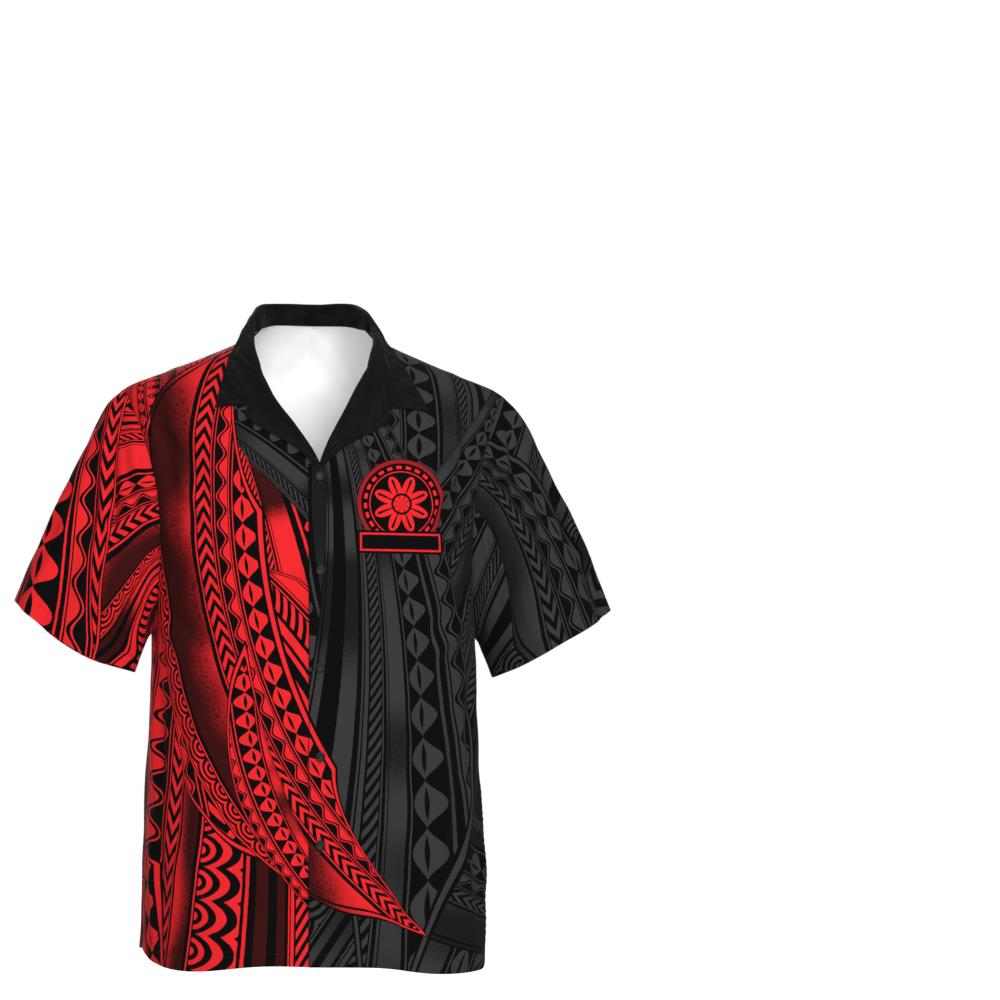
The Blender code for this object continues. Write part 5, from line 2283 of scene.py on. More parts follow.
@dataclass
class SleevePanel:
    """A short sleeve, closed along its underarm seam.

    Attributes:
        hand: 1 for the wearer's left sleeve, -1 for the right.
        drape: Its small creases.
        cut: Width and length of the flat cut, in metres; not used.
        cut_area: Area of the flat cut, in square metres; not used.
        wall: Thickness of the cloth.
        hem: Height of the cuff's hem.
        hem_radius: Radius of the hem's fold.
        seam_depth: How far the sewn edge rolls in.
        calm_armhole: Over what length the armhole calms the creases.
        calm_underarm: Over what length the underarm seam does.
        cuff_rows: Distances from the cuff of the rows that lie level with it.
        even_rows: How many rows share the rest of the length.
        patch: The finished fine patch.
    """

    hand: int
    drape: Drape
    cut: tuple[float, float] = (0.40, 0.29)
    cut_area: float = 0.096
    wall: float = 0.45
    hem: float = 18.0
    hem_radius: float = 0.72
    seam_depth: float = 0.9
    calm_armhole: float = 22.0
    calm_underarm: float = 20.0
    cuff_rows: tuple[float, ...] = (0, 0.4, 1, 2, 3.5, 5, 7, 9, 11, 13, 14.2, 14.9, 15.5, 16.1, 16.8, 18)
    even_rows: int = 100
    patch: Optional[Patch] = None

    @property
    def name(self) -> str:
        """The name of the sleeve's solid."""
        return f"sleeve_{Hand(self.hand).label}"

    def shape(self, form: ShirtForm, grid: Array, front: BodyPanel, back: BodyPanel) -> None:
        """Makes the patch, from the armhole to the cuff, its rows near the cuff level with it.

        Args:
            form: The shirt's form.
            grid: The sleeve's coarse points, on the wearer's left.
            front: The front panel that it is sewn to.
            back: The back panel.
        """
        columns = stops(grid.shape[1] - 1, [5], first=(0.08,), last=(0.08,))
        hold = corner_hold(form.rings)
        made = read_between(grid.transpose(1, 0, 2), columns, [(form.yoke_rows, hold)]).transpose(1, 0, 2)
        made = read_between(made, stops(form.rings, [10]))
        made = self.rerowed(made)
        if self.hand < 0:
            made = mirrored(made)[:, ::-1]
        over = run_length(made, 1)
        middle = over[:, over.shape[1] // 2][:, None]
        across = (over - middle) * self.hand
        from_cuff = run_length(made[::-1], 0)[::-1]
        plain = Patch(made, across, from_cuff - from_cuff[0, made.shape[1] // 2])
        calm = plain.fade(["first_row"], self.calm_armhole)
        calm = calm * plain.fade(["first_column", "last_column"], self.calm_underarm)
        lift = self.drape.raise_by(plain.across, plain.along) * calm
        seam = self.armhole(form, columns, front, back, 0, 0.0)
        rolled = plain.raised(lift).sunk(["first_row"], self.seam_depth, SEAM_REACH)
        sewn = rolled.snapped("first_row", seam, JOIN_REACH)
        under = [self.armhole(form, columns, front, back, inset, self.seam_depth) for inset in (4, 1)]
        self.patch = Patch(
            np.concatenate([under, sewn.points]),
            np.concatenate([sewn.across[:1], sewn.across[:1], sewn.across]),
            np.concatenate([sewn.along[:1] + 7.0, sewn.along[:1] + 1.0, sewn.along]),
        )

    def armhole(
        self, form: ShirtForm, columns: Array, front: BodyPanel, back: BodyPanel, inset: int, drop: float
    ) -> Array:
        """The armhole's edges of the back and the front as one ring, from the underarm over the shoulder.

        Args:
            form: The shirt's form.
            columns: The sleeve's columns.
            front: The front panel.
            back: The back panel.
            inset: How many fine columns in from the edge.
            drop: How far under the right side.

        Returns:
            The ring's points.
        """
        up = columns[columns <= form.yoke_rows] + form.body_rows
        down = form.body_rows + 2 * form.yoke_rows - columns[columns > form.yoke_rows]
        sides = ((back, up), (front, down))
        lines = [read_line(panel.edge(self.hand, inset, drop), panel.rows, at) for panel, at in sides]
        ring = np.concatenate(lines)
        return ring if self.hand > 0 else ring[::-1]

    def rerowed(self, points: Array) -> Array:
        """The points again, in rows that lie level with the cuff near it.

        Args:
            points: The sleeve's points, by row and column.

        Returns:
            The points in their new rows.
        """
        near = np.array(self.cuff_rows)
        shares = np.linspace(0, 1, self.even_rows + 1)[1:]
        backwards = points[::-1]
        lengths = run_length(backwards, 0)
        made = np.empty((len(near) + len(shares), points.shape[1], 3))
        for c in range(points.shape[1]):
            total = lengths[-1, c]
            at = np.concatenate([near, near[-1] + (total - near[-1]) * shares])
            for k in range(3):
                made[:, c, k] = np.interp(at, lengths[:, c], backwards[:, c, k])
        return made[::-1]

    def build(self, finishes: Sequence[bpy.types.Material], sweeps: Sequence[Sweep]) -> bpy.types.Object:
        """Args:
            finishes: The printed side's material and the lining's.
            sweeps: The families of strips of its print.

        Returns:
            The piece.
        """
        hemmed = self.patch.hemmed(False, self.hem, self.hem_radius, HEM_GROOVE)
        piece = cloth_object(self.name + "_cloth", hemmed, finishes, self.wall)
        give_sweeps(piece, sweeps)
        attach(piece, BODY)
        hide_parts(self.name)
        sewn_to = ["back", f"front_{Hand(self.hand).label}"]
        return piece


@dataclass
class FrontFacing:
    """The plain facing turned in along a front's edge, from the hem to the first button.

    Attributes:
        hand: Which front it edges.
        width: How far it reaches in.
        radius: Radius of the turned edge.
        wall: Thickness of the cloth.
        top_gap: How far over the front's corner it ends.
    """

    hand: int
    width: float = 30.0
    radius: float = 0.72
    wall: float = 0.3
    top_gap: float = 13.0

    def build(self, form: ShirtForm, panel: BodyPanel, finish: bpy.types.Material) -> bpy.types.Object:
        """Makes the facing along the panel's inner edge.

        Args:
            form: The shirt's form.
            panel: The front that it edges.
            finish: The plain cloth.

        Returns:
            The piece.
        """
        patch = panel.patch
        points, normals = patch.points, cross_normals(patch.points)
        if self.hand < 0:
            points, normals = points[:, ::-1], normals[:, ::-1]
        top = int(np.searchsorted(points[:, 0, 2], form.front_corner + self.top_gap))
        over = run_length(points, 1)
        reach = int(np.searchsorted(over.mean(axis=0), self.width))
        points, normals = points[2:top], normals[2:top]
        out = points[:, 0] - points[:, 1]
        out /= np.linalg.norm(out, axis=1, keepdims=True)
        r = self.radius
        columns = [
            points[:, 0] + normals[:, 0] * r * (math.cos(a) - 1) + out * r * math.sin(a)
            for a in np.radians((10, 45, 90, 135, 170))
        ]
        columns += [points[:, k] - normals[:, k] * 2 * r for k in range(1, reach)]
        grid = np.stack(columns, axis=1)
        if self.hand > 0:
            grid = grid[:, ::-1]
        made = Patch(grid, run_length(grid, 1), run_length(grid, 0))
        name = f"facing_{Hand(self.hand).label}"
        piece = cloth_object(name, made, [finish], self.wall)
        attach(piece, BODY)
        panel.name
        return piece


@dataclass
class CollarSet:
    """The collar with its turned-down leaf, and the two lapels.

    Attributes:
        wall: Thickness of the two layers of cloth with their interfacing.
        solid_wall: Wall of the solid pieces that the looks stand for.
        stand_steps: Coarse steps up the stand.
        roll_steps: Coarse steps round a fold.
        lapel_steps: Coarse steps across a lapel.
        tip_steps: Coarse steps from the notch to the collar's tip.
        leaf_clearance: Least gap under the leaf.
        lapel_clearance: Least gap under a lapel.
        belly: How far the leaf rounds out between its fold and its edge.
        foot_gap: Between the collar's foot and the neckline's edge.
        stitch_inset: Distance of the topstitching from an edge.
        foot_inset: Distance of the stitches along the collar's foot.
        tip_start: Share of an end's length, from the foot, at which its topstitching starts.
        edge_radius: Radius of the sewn edges.
        lying: Shares of the way to the gorge between which the stand lies down.
        facing_out: Shares between which the fold turns to face as the lapel's does.
        wide_foot: Shares between which the foot moves in from the neckline.
        wide_gap: How far it moves.
        mended: Shares between which the collar is drawn onto the lapel's gorge.
        stitch_dip: How deep the topstitching pulls the cloth in.
        stitch_spread: How wide that dip is.
        ruffle: Height of the loose leaf's soft waves.
        break_point: Where the lapels start, just over the end of the neckline.
        patches: The fine patches, by name.
    """

    wall: float = 1.5
    solid_wall: float = 2.0
    stand_steps: int = 3
    roll_steps: int = 5
    lapel_steps: int = 4
    tip_steps: int = 3
    leaf_clearance: float = 1.6
    lapel_clearance: float = 0.6
    belly: float = 3.0
    foot_gap: float = 0.8
    stitch_inset: float = 5.0
    foot_inset: float = 5.5
    tip_start: float = 0.82
    edge_radius: float = 0.5
    lying: tuple[float, float] = (0.52, 0.8)
    facing_out: tuple[float, float] = (0.55, 1.0)
    wide_foot: tuple[float, float] = (0.2, 0.42)
    wide_gap: float = 1.7
    mended: tuple[float, float] = (0.7, 1.0)
    stitch_dip: float = 0.4
    stitch_spread: float = 1.2
    ruffle: float = 0.8
    break_point: tuple[float, float] = (0.2, -142.0)
    patches: dict[str, Patch] = field(default_factory=dict)

    @staticmethod
    def fold_path(extreme: Array, lie: Array, outward: Array, radius: float, steps: int) -> list[Array]:
        """Points round a fold, from under it to over it; the cloth goes on from the extreme along lie.

        Args:
            extreme: The fold's outermost point.
            lie: Direction in which the upper layer goes on.
            outward: Direction out of the cloth.
            radius: Radius of the fold.
            steps: How many steps to give.

        Returns:
            The points.
        """
        centre = extreme + lie * radius
        turns = np.linspace(0, math.pi, steps + 1)
        return [centre - radius * (math.cos(a) * outward + math.sin(a) * lie) for a in turns]

    @staticmethod
    def clear_of(tree: BVHTree, point: Array, clearance: float) -> Array:
        """The point, moved out until it stands clear of the shell.

        Args:
            tree: The shell's surface.
            point: The point.
            clearance: Least distance from the shell.

        Returns:
            The point, moved or not.
        """
        place, normal, _, _ = tree.find_nearest(Vector(point))
        away = (Vector(point) - place).dot(normal)
        if away >= clearance:
            return point
        return np.array(Vector(point) + normal * (clearance - away))

    def lapel_grid(self, form: ShirtForm, hand: int, tree: BVHTree) -> Array:
        """Coarse points of a lapel: round the roll line and out over the chest, from break to gorge.

        Args:
            form: The shirt's form.
            hand: 1 for the wearer's left, -1 for the right.
            tree: The body's surface on that side.

        Returns:
            The points, in rows up the lapel.
        """
        roll = through(form.spots(ROLL_LINE, hand), form.roll_rows)
        roll[0] = self.break_point
        edge = np.concatenate([through(LAPEL_EDGE, form.roll_rows - 1), form.spots([NOTCH], hand)])
        rest = self.solid_wall / 2 + self.lapel_clearance
        grid = []
        for k in range(form.roll_rows + 1):
            radius = form.lapel_roll(k / form.roll_rows)
            outward = form.normal(Face.FRONT, *roll[k])
            foot = form.on_body(Face.FRONT, *roll[k])
            lie = form.on_body(Face.FRONT, *edge[k]) - foot
            lie = unit(lie - outward * (lie @ outward))
            steps = self.stand_steps + self.roll_steps
            row = self.fold_path(foot + outward * (radius - form.cloth / 2), lie, outward, radius, steps)
            over = row[-1]
            end = form.on_body(Face.FRONT, *edge[k]) + form.normal(Face.FRONT, *edge[k]) * rest
            for t in np.linspace(0, 1, self.lapel_steps + 1)[1:]:
                spot = roll[k] + (edge[k] - roll[k]) * t
                lift = rest + (2 * radius - form.cloth / 2 - rest) * (1 - t) ** 1.2
                flat = form.on_body(Face.FRONT, *spot) + form.normal(Face.FRONT, *spot) * lift
                straight = over + (end - over) * t
                row.append(self.clear_of(tree, flat + (straight - flat) * (1 - t) ** 2, rest))
            grid.append(row)
        return np.array(grid)

    @staticmethod
    def line(rows: Sequence[CollarPoint], hand: int, share: float) -> Array:
        """The point of a collar line at this share of the way to the gorge.

        Args:
            rows: The line's table.
            hand: 1 for the wearer's left, -1 for the right.
            share: Share of the way from centre back.

        Returns:
            The point.
        """
        names = (Hand(hand).label, "back", "height")
        return np.array([smooth_line(rows, "share", name)(share) for name in names])

    @staticmethod
    def pull(run: float) -> float:
        """How much a line of the collar is drawn towards the gorge."""
        return max((run - 0.62) / 0.38, 0.0) ** 2

    def collar_row(self, form: ShirtForm, foot: Array, run: float, hand: int, gorge: Array) -> Array:
        """One coarse line of the collar: up the stand, over the fold and down the leaf.

        Args:
            form: The shirt's form.
            foot: The line's point on the neckline.
            run: Its share of the way to the gorge.
            hand: 1 for the wearer's left, -1 for the right.
            gorge: The lapel's points at the gorge.

        Returns:
            The line's points.
        """
        notch, pull = gorge[-1], self.pull(run)
        fold, edge = self.line(FOLD_LINE, hand, run), self.line(LEAF_EDGE, hand, run)
        gorge_normal = form.normal(Face.FRONT, *form.spots(ROLL_LINE, hand)[-1])
        bend = float(smoothstep(*self.lying, run))
        outward = unit(np.array([fold[0], fold[1] + 8.0, 6.0]))
        outward = unit(outward + (gorge_normal - outward) * float(smoothstep(*self.facing_out, run)))
        lie = unit(edge + (notch - edge) * pull - fold)
        outward = unit(outward - lie * (outward @ lie))
        over = self.fold_path(fold, lie, outward, COLLAR_ROLL, self.roll_steps)
        inwards = unit(np.array([-foot[0], 20.0 - foot[1], 0.0]))
        clear = self.solid_wall / 2 + self.foot_gap + self.wide_gap * float(smoothstep(*self.wide_foot, run))
        inside = foot + inwards * clear
        stand = [inside + (over[0] - inside) * k / self.stand_steps for k in range(self.stand_steps)]
        upright = np.array(stand + over)
        turned = np.array(self.fold_path(fold, lie, outward, COLLAR_ROLL, self.stand_steps + self.roll_steps))
        beside = foot - outward * form.cloth / 2 - lie * self.foot_gap
        turned += beside - turned[0]
        swing = inwards * self.solid_wall / 2 * math.sin(math.pi * bend)
        row = list(upright + (turned - upright) * bend + swing)
        top, gorge_top = row[-1], gorge[-1 - self.lapel_steps]
        steps = self.lapel_steps + self.tip_steps
        for k in range(1, steps + 1):
            straight = top + (edge - top) * k / steps + outward * self.belly * math.sin(math.pi * k / steps)
            if k <= self.lapel_steps:
                corner = gorge[k - 1 - self.lapel_steps] + (top - gorge_top) * (1 - k / self.lapel_steps)
            else:
                corner = notch + (edge - notch) * (k - self.lapel_steps) / self.tip_steps
            row.append(straight + (corner - straight) * pull)
        return np.array(row)

    def collar_grid(self, form: ShirtForm, neck: Array, hand: int, gorge: Array, tree: BVHTree) -> Array:
        """Coarse points of half of the collar, from centre back to the gorge.

        Args:
            form: The shirt's form.
            neck: The neckline's points.
            hand: 1 for the wearer's left, -1 for the right.
            gorge: The lapel's points at the gorge.
            tree: The body's surface on that side.

        Returns:
            The points, one row for each line.
        """
        along = lengths_along(neck)
        shares = along / along[-1]
        shared = len(gorge)
        rows = [self.collar_row(form, point, run, hand, gorge) for point, run in zip(neck, shares)]
        mend = gorge - rows[-1][:shared]
        for row, run in zip(rows, shares):
            row[:shared] += mend * float(smoothstep(*self.mended, run))
            first = shared if row is rows[-1] else self.stand_steps + self.roll_steps
            clearance = self.leaf_clearance + (self.lapel_clearance - self.leaf_clearance) * self.pull(run)
            for k in range(first, len(row)):
                row[k] = self.clear_of(tree, row[k], clearance + self.solid_wall / 2)
        return np.array(rows)

    def shape(
        self,
        form: ShirtForm,
        fronts: dict[int, Array],
        backs: dict[int, Array],
        trees: dict[int, BVHTree],
    ) -> None:
        """Makes the fine patches of the collar and both lapels.

        Args:
            form: The shirt's form.
            fronts: The fronts' coarse points, by hand.
            backs: The back's halves, by hand.
            trees: The body's surface, by hand.
        """
        halves = {}
        first_neck_row = form.body_rows + form.chest_rows + form.roll_rows
        for hand in (1, -1):
            neck_back = backs[hand][form.body_rows + form.yoke_rows - form.neck_back_rows :, 0, :3]
            neck_front = fronts[hand][first_neck_row:, 0, :3][::-1]
            lapel = self.lapel_grid(form, hand, trees[hand])[::-1]
            neck = np.concatenate([neck_back, neck_front[1:]])
            halves[hand] = self.collar_grid(form, neck, hand, lapel[0], trees[hand])
            fine = self.refined(lapel[::-1], 8, 5)
            turned = fine if hand > 0 else mirrored(fine)[:, ::-1]
            name = f"lapel_{Hand(hand).label}"
            self.patches[name] = Patch(turned, run_length(turned, 1), run_length(turned, 0))
        whole = np.concatenate([halves[1][::-1], mirrored(halves[-1])[1:]])
        fine = self.refined(whole, 6, 5)
        self.patches["collar"] = Patch(fine, run_length(fine, 0), run_length(fine, 1))

    @staticmethod
    def refined(grid: Array, rows: int, columns: int) -> Array:
        """A coarse grid read more finely, with closer steps at its edges.

        Args:
            grid: The coarse points.
            rows: Fine steps in each coarse row.
            columns: Fine steps in each coarse column.

        Returns:
            The fine points.
        """
        ends = (0.06, 0.15)
        made = read_between(grid, stops(len(grid) - 1, [rows], ends, ends))
        made = read_between(made.transpose(1, 0, 2), stops(grid.shape[1] - 1, [columns], ends, ends))
        return made.transpose(1, 0, 2)

    def edges(self, name: str) -> list[tuple[Array, Array]]:
        """The topstitching's lines, as points and normals.

        Args:
            name: The piece: collar, lapel_left or lapel_right.

        Returns:
            The lines, one for each stitched edge.
        """
        rows = [("last_column" if name.endswith("left") else "first_column", self.stitch_inset, 4, -2)]
        if name == "collar":
            tip = int(self.patches[name].across.shape[1] * self.tip_start)
            rows = [
                ("last_column", self.stitch_inset, 6, -6),
                ("first_row", self.stitch_inset, tip, -4),
                ("last_row", self.stitch_inset, tip, -4),
                ("first_column", self.foot_inset, 4, -4),
            ]
        runs = []
        for edge, inset, first, last in rows:
            line, normals = inset_line(self.patches[name], edge, inset)
            runs.append((line[first:last], normals[first:last]))
        return runs

    def build(
        self, finish: bpy.types.Material, cuts: dict[str, tuple[float, float, float]]
    ) -> list[bpy.types.Object]:
        """Makes the three pieces, with rounded sewn edges.

        Args:
            finish: The plain cloth.
            cuts: Width, length and area of each flat cut, in metres; not used.

        Returns:
            The pieces.
        """
        made = []
        for name, patch in self.patches.items():
            edges = ["last_column"] if name == "collar" else ["last_column", "first_column"]
            pressed = patch.raised(self.puff(patch, edges))
            piece = cloth_object(name + "_cloth", pressed, [finish], 0.0)
            solid = piece.modifiers.new("wall", "SOLIDIFY")
            solid.thickness = self.wall * MM
            solid.offset = 0.0
            rounded = piece.modifiers.new("edge", "BEVEL")
            rounded.width = self.edge_radius * MM
            rounded.segments = 2
            rounded.limit_method = "ANGLE"
            rounded.angle_limit = math.radians(55)
            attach(piece, BODY)
            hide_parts(name)
            made.append(piece)
        return made

    def puff(self, patch: Patch, edges: Sequence[str]) -> Array:
        """The soft roll between the topstitching and the edge, and the dip that the thread pulls.

        Args:
            patch: The fine patch.
            edges: The names of its stitched edges.

        Returns:
            The lift of each point.
        """
        over = run_length(patch.points, 1)
        distances = {"first_column": over, "last_column": over[:, -1:] - over}
        made = np.zeros_like(over)
        for edge in edges:
            gap = distances[edge] - self.stitch_inset
            made -= self.stitch_dip * np.exp(-((gap / self.stitch_spread) ** 2))
        loose = smoothstep(12.0, 26.0, over) * np.ones_like(over)
        ruffle = np.sin(patch.across / 23.0 + 1.3) + 0.6 * np.sin(patch.across / 9.0 + patch.along / 13.0)
        return made + np.maximum(self.ruffle * loose * ruffle, -0.5)


def read_line(points: Array, at: Array, wanted: Array) -> Array:
    """Points of a line read at other places along it.

    Args:
        points: The line's points.
        at: Where each of them lies along it.
        wanted: The places to read.

    Returns:
        The points there.
    """
    return np.stack([np.interp(wanted, at, points[:, k]) for k in range(3)], axis=1)


def inset_line(patch: Patch, edge: str, distance: float) -> tuple[Array, Array]:
    """A line that follows an edge of a patch at this distance.

    Args:
        patch: The patch.
        edge: first_row, last_row, first_column or last_column.
        distance: How far in the line lies, in millimetres.

    Returns:
        The line's points and the normals there.
    """
    points, normals = patch.points, cross_normals(patch.points)
    if edge.endswith("column"):
        points, normals = points.transpose(1, 0, 2), normals.transpose(1, 0, 2)
    if edge.startswith("last"):
        points, normals = points[::-1], normals[::-1]
    lengths = run_length(points, 0)
    line = np.empty((points.shape[1], 3))
    up = np.empty_like(line)
    for c in range(points.shape[1]):
        for k in range(3):
            line[c, k] = np.interp(distance, lengths[:, c], points[:, c, k])
            up[c, k] = np.interp(distance, lengths[:, c], normals[:, c, k])
    return line, up / np.linalg.norm(up, axis=1, keepdims=True)


@dataclass
class Stitching:
    """Rows of stitches, laid along lines.

    Attributes:
        length: Length of a stitch.
        pitch: Distance from stitch to stitch.
        thickness: Thickness of the thread.
        reach: How far each way the row is read for a stitch's direction.
    """

    length: float = 2.3
    pitch: float = 2.9
    thickness: float = 0.36
    reach: float = 0.5

    def lay(self, bm: bmesh.types.BMesh, line: Array, normals: Array, lift: float) -> int:
        """Adds one row of stitches to a mesh.

        Args:
            bm: The mesh, in metres.
            line: Points that the row follows, in millimetres.
            normals: The cloth's normals there.
            lift: How far the thread's middle lies above the line.

        Returns:
            The number of stitches.
        """
        along = lengths_along(line)
        count = int(along[-1] / self.pitch)
        for k in range(count):
            at = (k + 0.5) * self.pitch
            before, after = read_line(line, along, np.array([at - self.reach, at + self.reach]))
            up = unit(read_line(normals, along, np.array([at]))[0])
            run = unit(after - before)
            side = unit(np.cross(up, run))
            self.place(bm, (before + after) / 2 + up * lift, run, side, self.length)
        return count

    def place(self, bm: bmesh.types.BMesh, middle: Array, run: Array, side: Array, length: float) -> None:
        """Adds one stitch: a slim spindle of thread.

        Args:
            bm: The mesh, in metres.
            middle: The stitch's middle, in millimetres.
            run: Direction of the thread.
            side: Direction across it.
            length: Length of the stitch.
        """
        up = np.cross(run, side)
        size = (length / 2, self.thickness / 2, self.thickness / 2)
        axes = np.stack([run, side, up], axis=1) * size
        turn = Matrix([[*axes[i], middle[i]] for i in range(3)] + [[0, 0, 0, 1]])
        made = bmesh.ops.create_uvsphere(bm, u_segments=5, v_segments=4, radius=1.0, matrix=turn)
        for vert in made["verts"]:
            vert.co = leaned(np.array(vert.co))

    def build(
        self, name: str, runs: Sequence[tuple[Array, Array]], finish: bpy.types.Material, lift: float
    ) -> bpy.types.Object:
        """Makes one piece of all these rows of stitches.

        Args:
            name: The piece's name.
            runs: Points and normals of each row.
            finish: The thread's material.
            lift: How far the thread's middle lies above the rows.

        Returns:
            The piece.
        """
        bm = bmesh.new()
        count = sum(self.lay(bm, line, normals, lift) for line, normals in runs)
        piece = mesh_object(name, bm, finish)
        LOG.info("%s: %d stitches", name, count)
        return piece


def mesh_object(name: str, bm: bmesh.types.BMesh, finish: bpy.types.Material) -> bpy.types.Object:
    """Makes a smooth-shaded piece of a mesh in metres and lets it ride on the body.

    Args:
        name: The piece's name.
        bm: The mesh, which is freed.
        finish: Its material.

    Returns:
        The piece.
    """
    piece = linked_object(name, bm, [finish])
    piece.data.shade_smooth()
    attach(piece, BODY)
    return piece


@dataclass
class ButtonRow:
    """The five buttons, each with four holes, its thread and its buttonhole.

    Attributes:
        heights: Heights of the buttons.
        radius: Radius of a button.
        thickness: Thickness at the rim.
        hole_radius: Radius of a hole.
        hole_offset: How far each hole lies from the middle, along both ways.
        slit: Length of a buttonhole.
        slit_pitch: Distance from stitch to stitch round it.
        slit_reach: How far they lie from its middle line.
    """

    heights: tuple[float, ...] = (-157.0, -263.0, -373.0, -474.5, -574.5)
    radius: float = 5.6
    thickness: float = 2.4
    hole_radius: float = 0.72
    hole_offset: float = 1.15
    slit: float = 14.5
    slit_pitch: float = 0.42
    slit_reach: float = 0.85

    def profile(self) -> list[tuple[float, float]]:
        """Radius and height of the button's outline, from under its middle to its dished top.

        Returns:
            The outline's points.
        """
        r, t = self.radius, self.thickness
        return [
            (0.0, 0.15),
            (r - 1.2, 0.05),
            (r - 0.45, 0.3),
            (r - 0.08, 0.85),
            (r, 1.35),
            (r - 0.18, 1.95),
            (r - 0.62, t - 0.08),
            (r - 1.05, t),
            (r - 1.5, t - 0.1),
            (r - 1.95, t - 0.45),
            (r - 2.35, t - 0.72),
            (r - 2.8, t - 0.82),
            (0.0, t - 0.86),
        ]

    def blank(self) -> bpy.types.Mesh:
        """One button at the origin, in millimetres, with its holes cut.

        Returns:
            The button's mesh.
        """
        bm = bmesh.new()
        verts = [bm.verts.new((r, 0, z)) for r, z in self.profile()]
        edges = [bm.edges.new(pair) for pair in zip(verts, verts[1:])]
        bmesh.ops.spin(
            bm, geom=verts + edges, cent=(0, 0, 0), axis=(0, 0, 1), angle=math.tau, steps=40, use_merge=True
        )
        bmesh.ops.remove_doubles(bm, verts=bm.verts, dist=0.001)
        bmesh.ops.recalc_face_normals(bm, faces=bm.faces)
        disc = linked_object("button_blank", bm)
        cuts = bmesh.new()
        for x in (-1, 1):
            for y in (-1, 1):
                bmesh.ops.create_cone(
                    cuts,
                    cap_ends=True,
                    segments=14,
                    radius1=self.hole_radius,
                    radius2=self.hole_radius,
                    depth=8.0,
                    matrix=Matrix.Translation((x * self.hole_offset, y * self.hole_offset, 0)),
                )
        cutter = linked_object("button_cutter", cuts)
        hole = disc.modifiers.new("holes", "BOOLEAN")
        hole.operation, hole.solver, hole.object = "DIFFERENCE", "EXACT", cutter
        bpy.context.view_layer.update()
        made = bpy.data.meshes.new_from_object(disc.evaluated_get(bpy.context.evaluated_depsgraph_get()))
        bpy.data.objects.remove(disc)
        bpy.data.objects.remove(cutter)
        return made

    def seat(self, form: ShirtForm, height: float) -> tuple[Array, Array, Array, Array]:
        """Where a button lies: its middle, its normal, across and up the front.

        Args:
            form: The shirt's form.
            height: The button's height.

        Returns:
            The middle and the three directions.
        """
        normal = form.normal(Face.FRONT, 0.0, height)
        centre = form.on_body(Face.FRONT, 0.0, height) + normal * form.seam_gap
        side = unit(np.cross(np.array([0.0, 0.0, 1.0]), normal))
        side = side if side[0] > 0 else -side
        return centre, normal, side, np.cross(normal, side)

    def build(
        self, form: ShirtForm, resin: bpy.types.Material, thread: bpy.types.Material
    ) -> list[bpy.types.Object]:
        """Makes the buttons, their threads and the buttonholes.

        Args:
            form: The shirt's form.
            resin: The buttons' material.
            thread: The thread's material.

        Returns:
            The pieces.
        """
        blank = self.blank()
        made = []
        strand = Stitching(length=2.6, thickness=0.5)
        for number, height in enumerate(self.heights, start=1):
            centre, normal, side, up = self.seat(form, height)
            bm = bmesh.new()
            bm.from_mesh(blank)
            for vert in bm.verts:
                vert.co = leaned(centre + side * vert.co.x + up * vert.co.y + normal * vert.co.z)
            piece = mesh_object(f"shirt_button_{number}", bm, resin)
            piece.data.set_sharp_from_angle(angle=math.radians(40))
            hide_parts(f"button_{number}")
            made.append(piece)
            threads = bmesh.new()
            for shift in (-self.hole_offset, self.hole_offset):
                for level in (0.0, 0.28):
                    middle = centre + side * (shift + level * 0.6) + normal * (self.thickness - 0.72 + level)
                    strand.place(threads, middle, up, side, self.hole_offset * 2 + 1.3)
            self.buttonhole(threads, centre - normal * 0.3, side, up)
            made.append(mesh_object(f"button_thread_{number}", threads, thread))
        return made

    def buttonhole(self, bm: bmesh.types.BMesh, centre: Array, side: Array, up: Array) -> None:
        """Adds the close stitches round an upright buttonhole.

        Args:
            bm: The mesh of the button's thread.
            centre: The buttonhole's middle.
            side: Direction across the front.
            up: Direction up the front.
        """
        close = Stitching(length=1.5, thickness=0.34)
        for place in np.arange(-self.slit / 2, self.slit / 2 + 0.01, self.slit_pitch):
            for shift in (-self.slit_reach, self.slit_reach):
                close.place(bm, centre + up * place + side * shift, side, up, close.length)
        for end in (-1, 1):
            for step in range(3):
                middle = centre + up * end * (self.slit / 2 + 0.3 + 0.3 * step)
                close.place(bm, middle, side, up, 3.0)


RED_ARC = Sweep((500, -350), (-40, -360), 74, 0.049, 5, Ink.RED, shift=3, span=(-14.5, 15), tip=9)
RED_TONGUE = Sweep((330, 20), (-6, 20), 88, 0.026, 4, Ink.RED, shift=6, span=(-5, 30), tip=12)
FRONT_RIGHT_SWEEPS = (
    Sweep((260, -560), (-20, -560), 62, 0.052, 3, Ink.RED, shift=0, span=(-14, 13), tip=9),
    RED_ARC,
    Sweep((-70, -1010), (-205, -620), 16, 0.095, 9, Ink.RED, shift=3, span=(-12, 5.5), tip=5),
    Sweep((-330, -70), (-20, -210), 26, 0.075, 5, Ink.CHARCOAL, shift=5, span=(-10, 8), tip=6),
    Sweep((-420, -190), (-170, -470), 30, 0.085, 7, Ink.RED, shift=6, span=(-8, 6), tip=5),
    Sweep((-330, 190), (-420, -300), 20, 0.052, 100, Ink.RED, shift=6),
)
FRONT_LEFT_SWEEPS = (
    RED_TONGUE,
    RED_ARC,
    Sweep((-60, 40), (10, -150), 16, 0.082, 5, Ink.CHARCOAL, shift=2, span=(-30, 19), tip=8),
    Sweep((420, -430), (250, -560), 60, 0.085, 6, Ink.CHARCOAL, shift=5, span=(-24, 24), tip=9),
    Sweep((330, 240), (-10, -300), 14, 0.05, 16, Ink.CHARCOAL, shift=0, span=(-30, 12), tip=8),
    Sweep((60, -3000), (520, -300), 0, 0.0102, 100, Ink.CHARCOAL, shift=1),
)
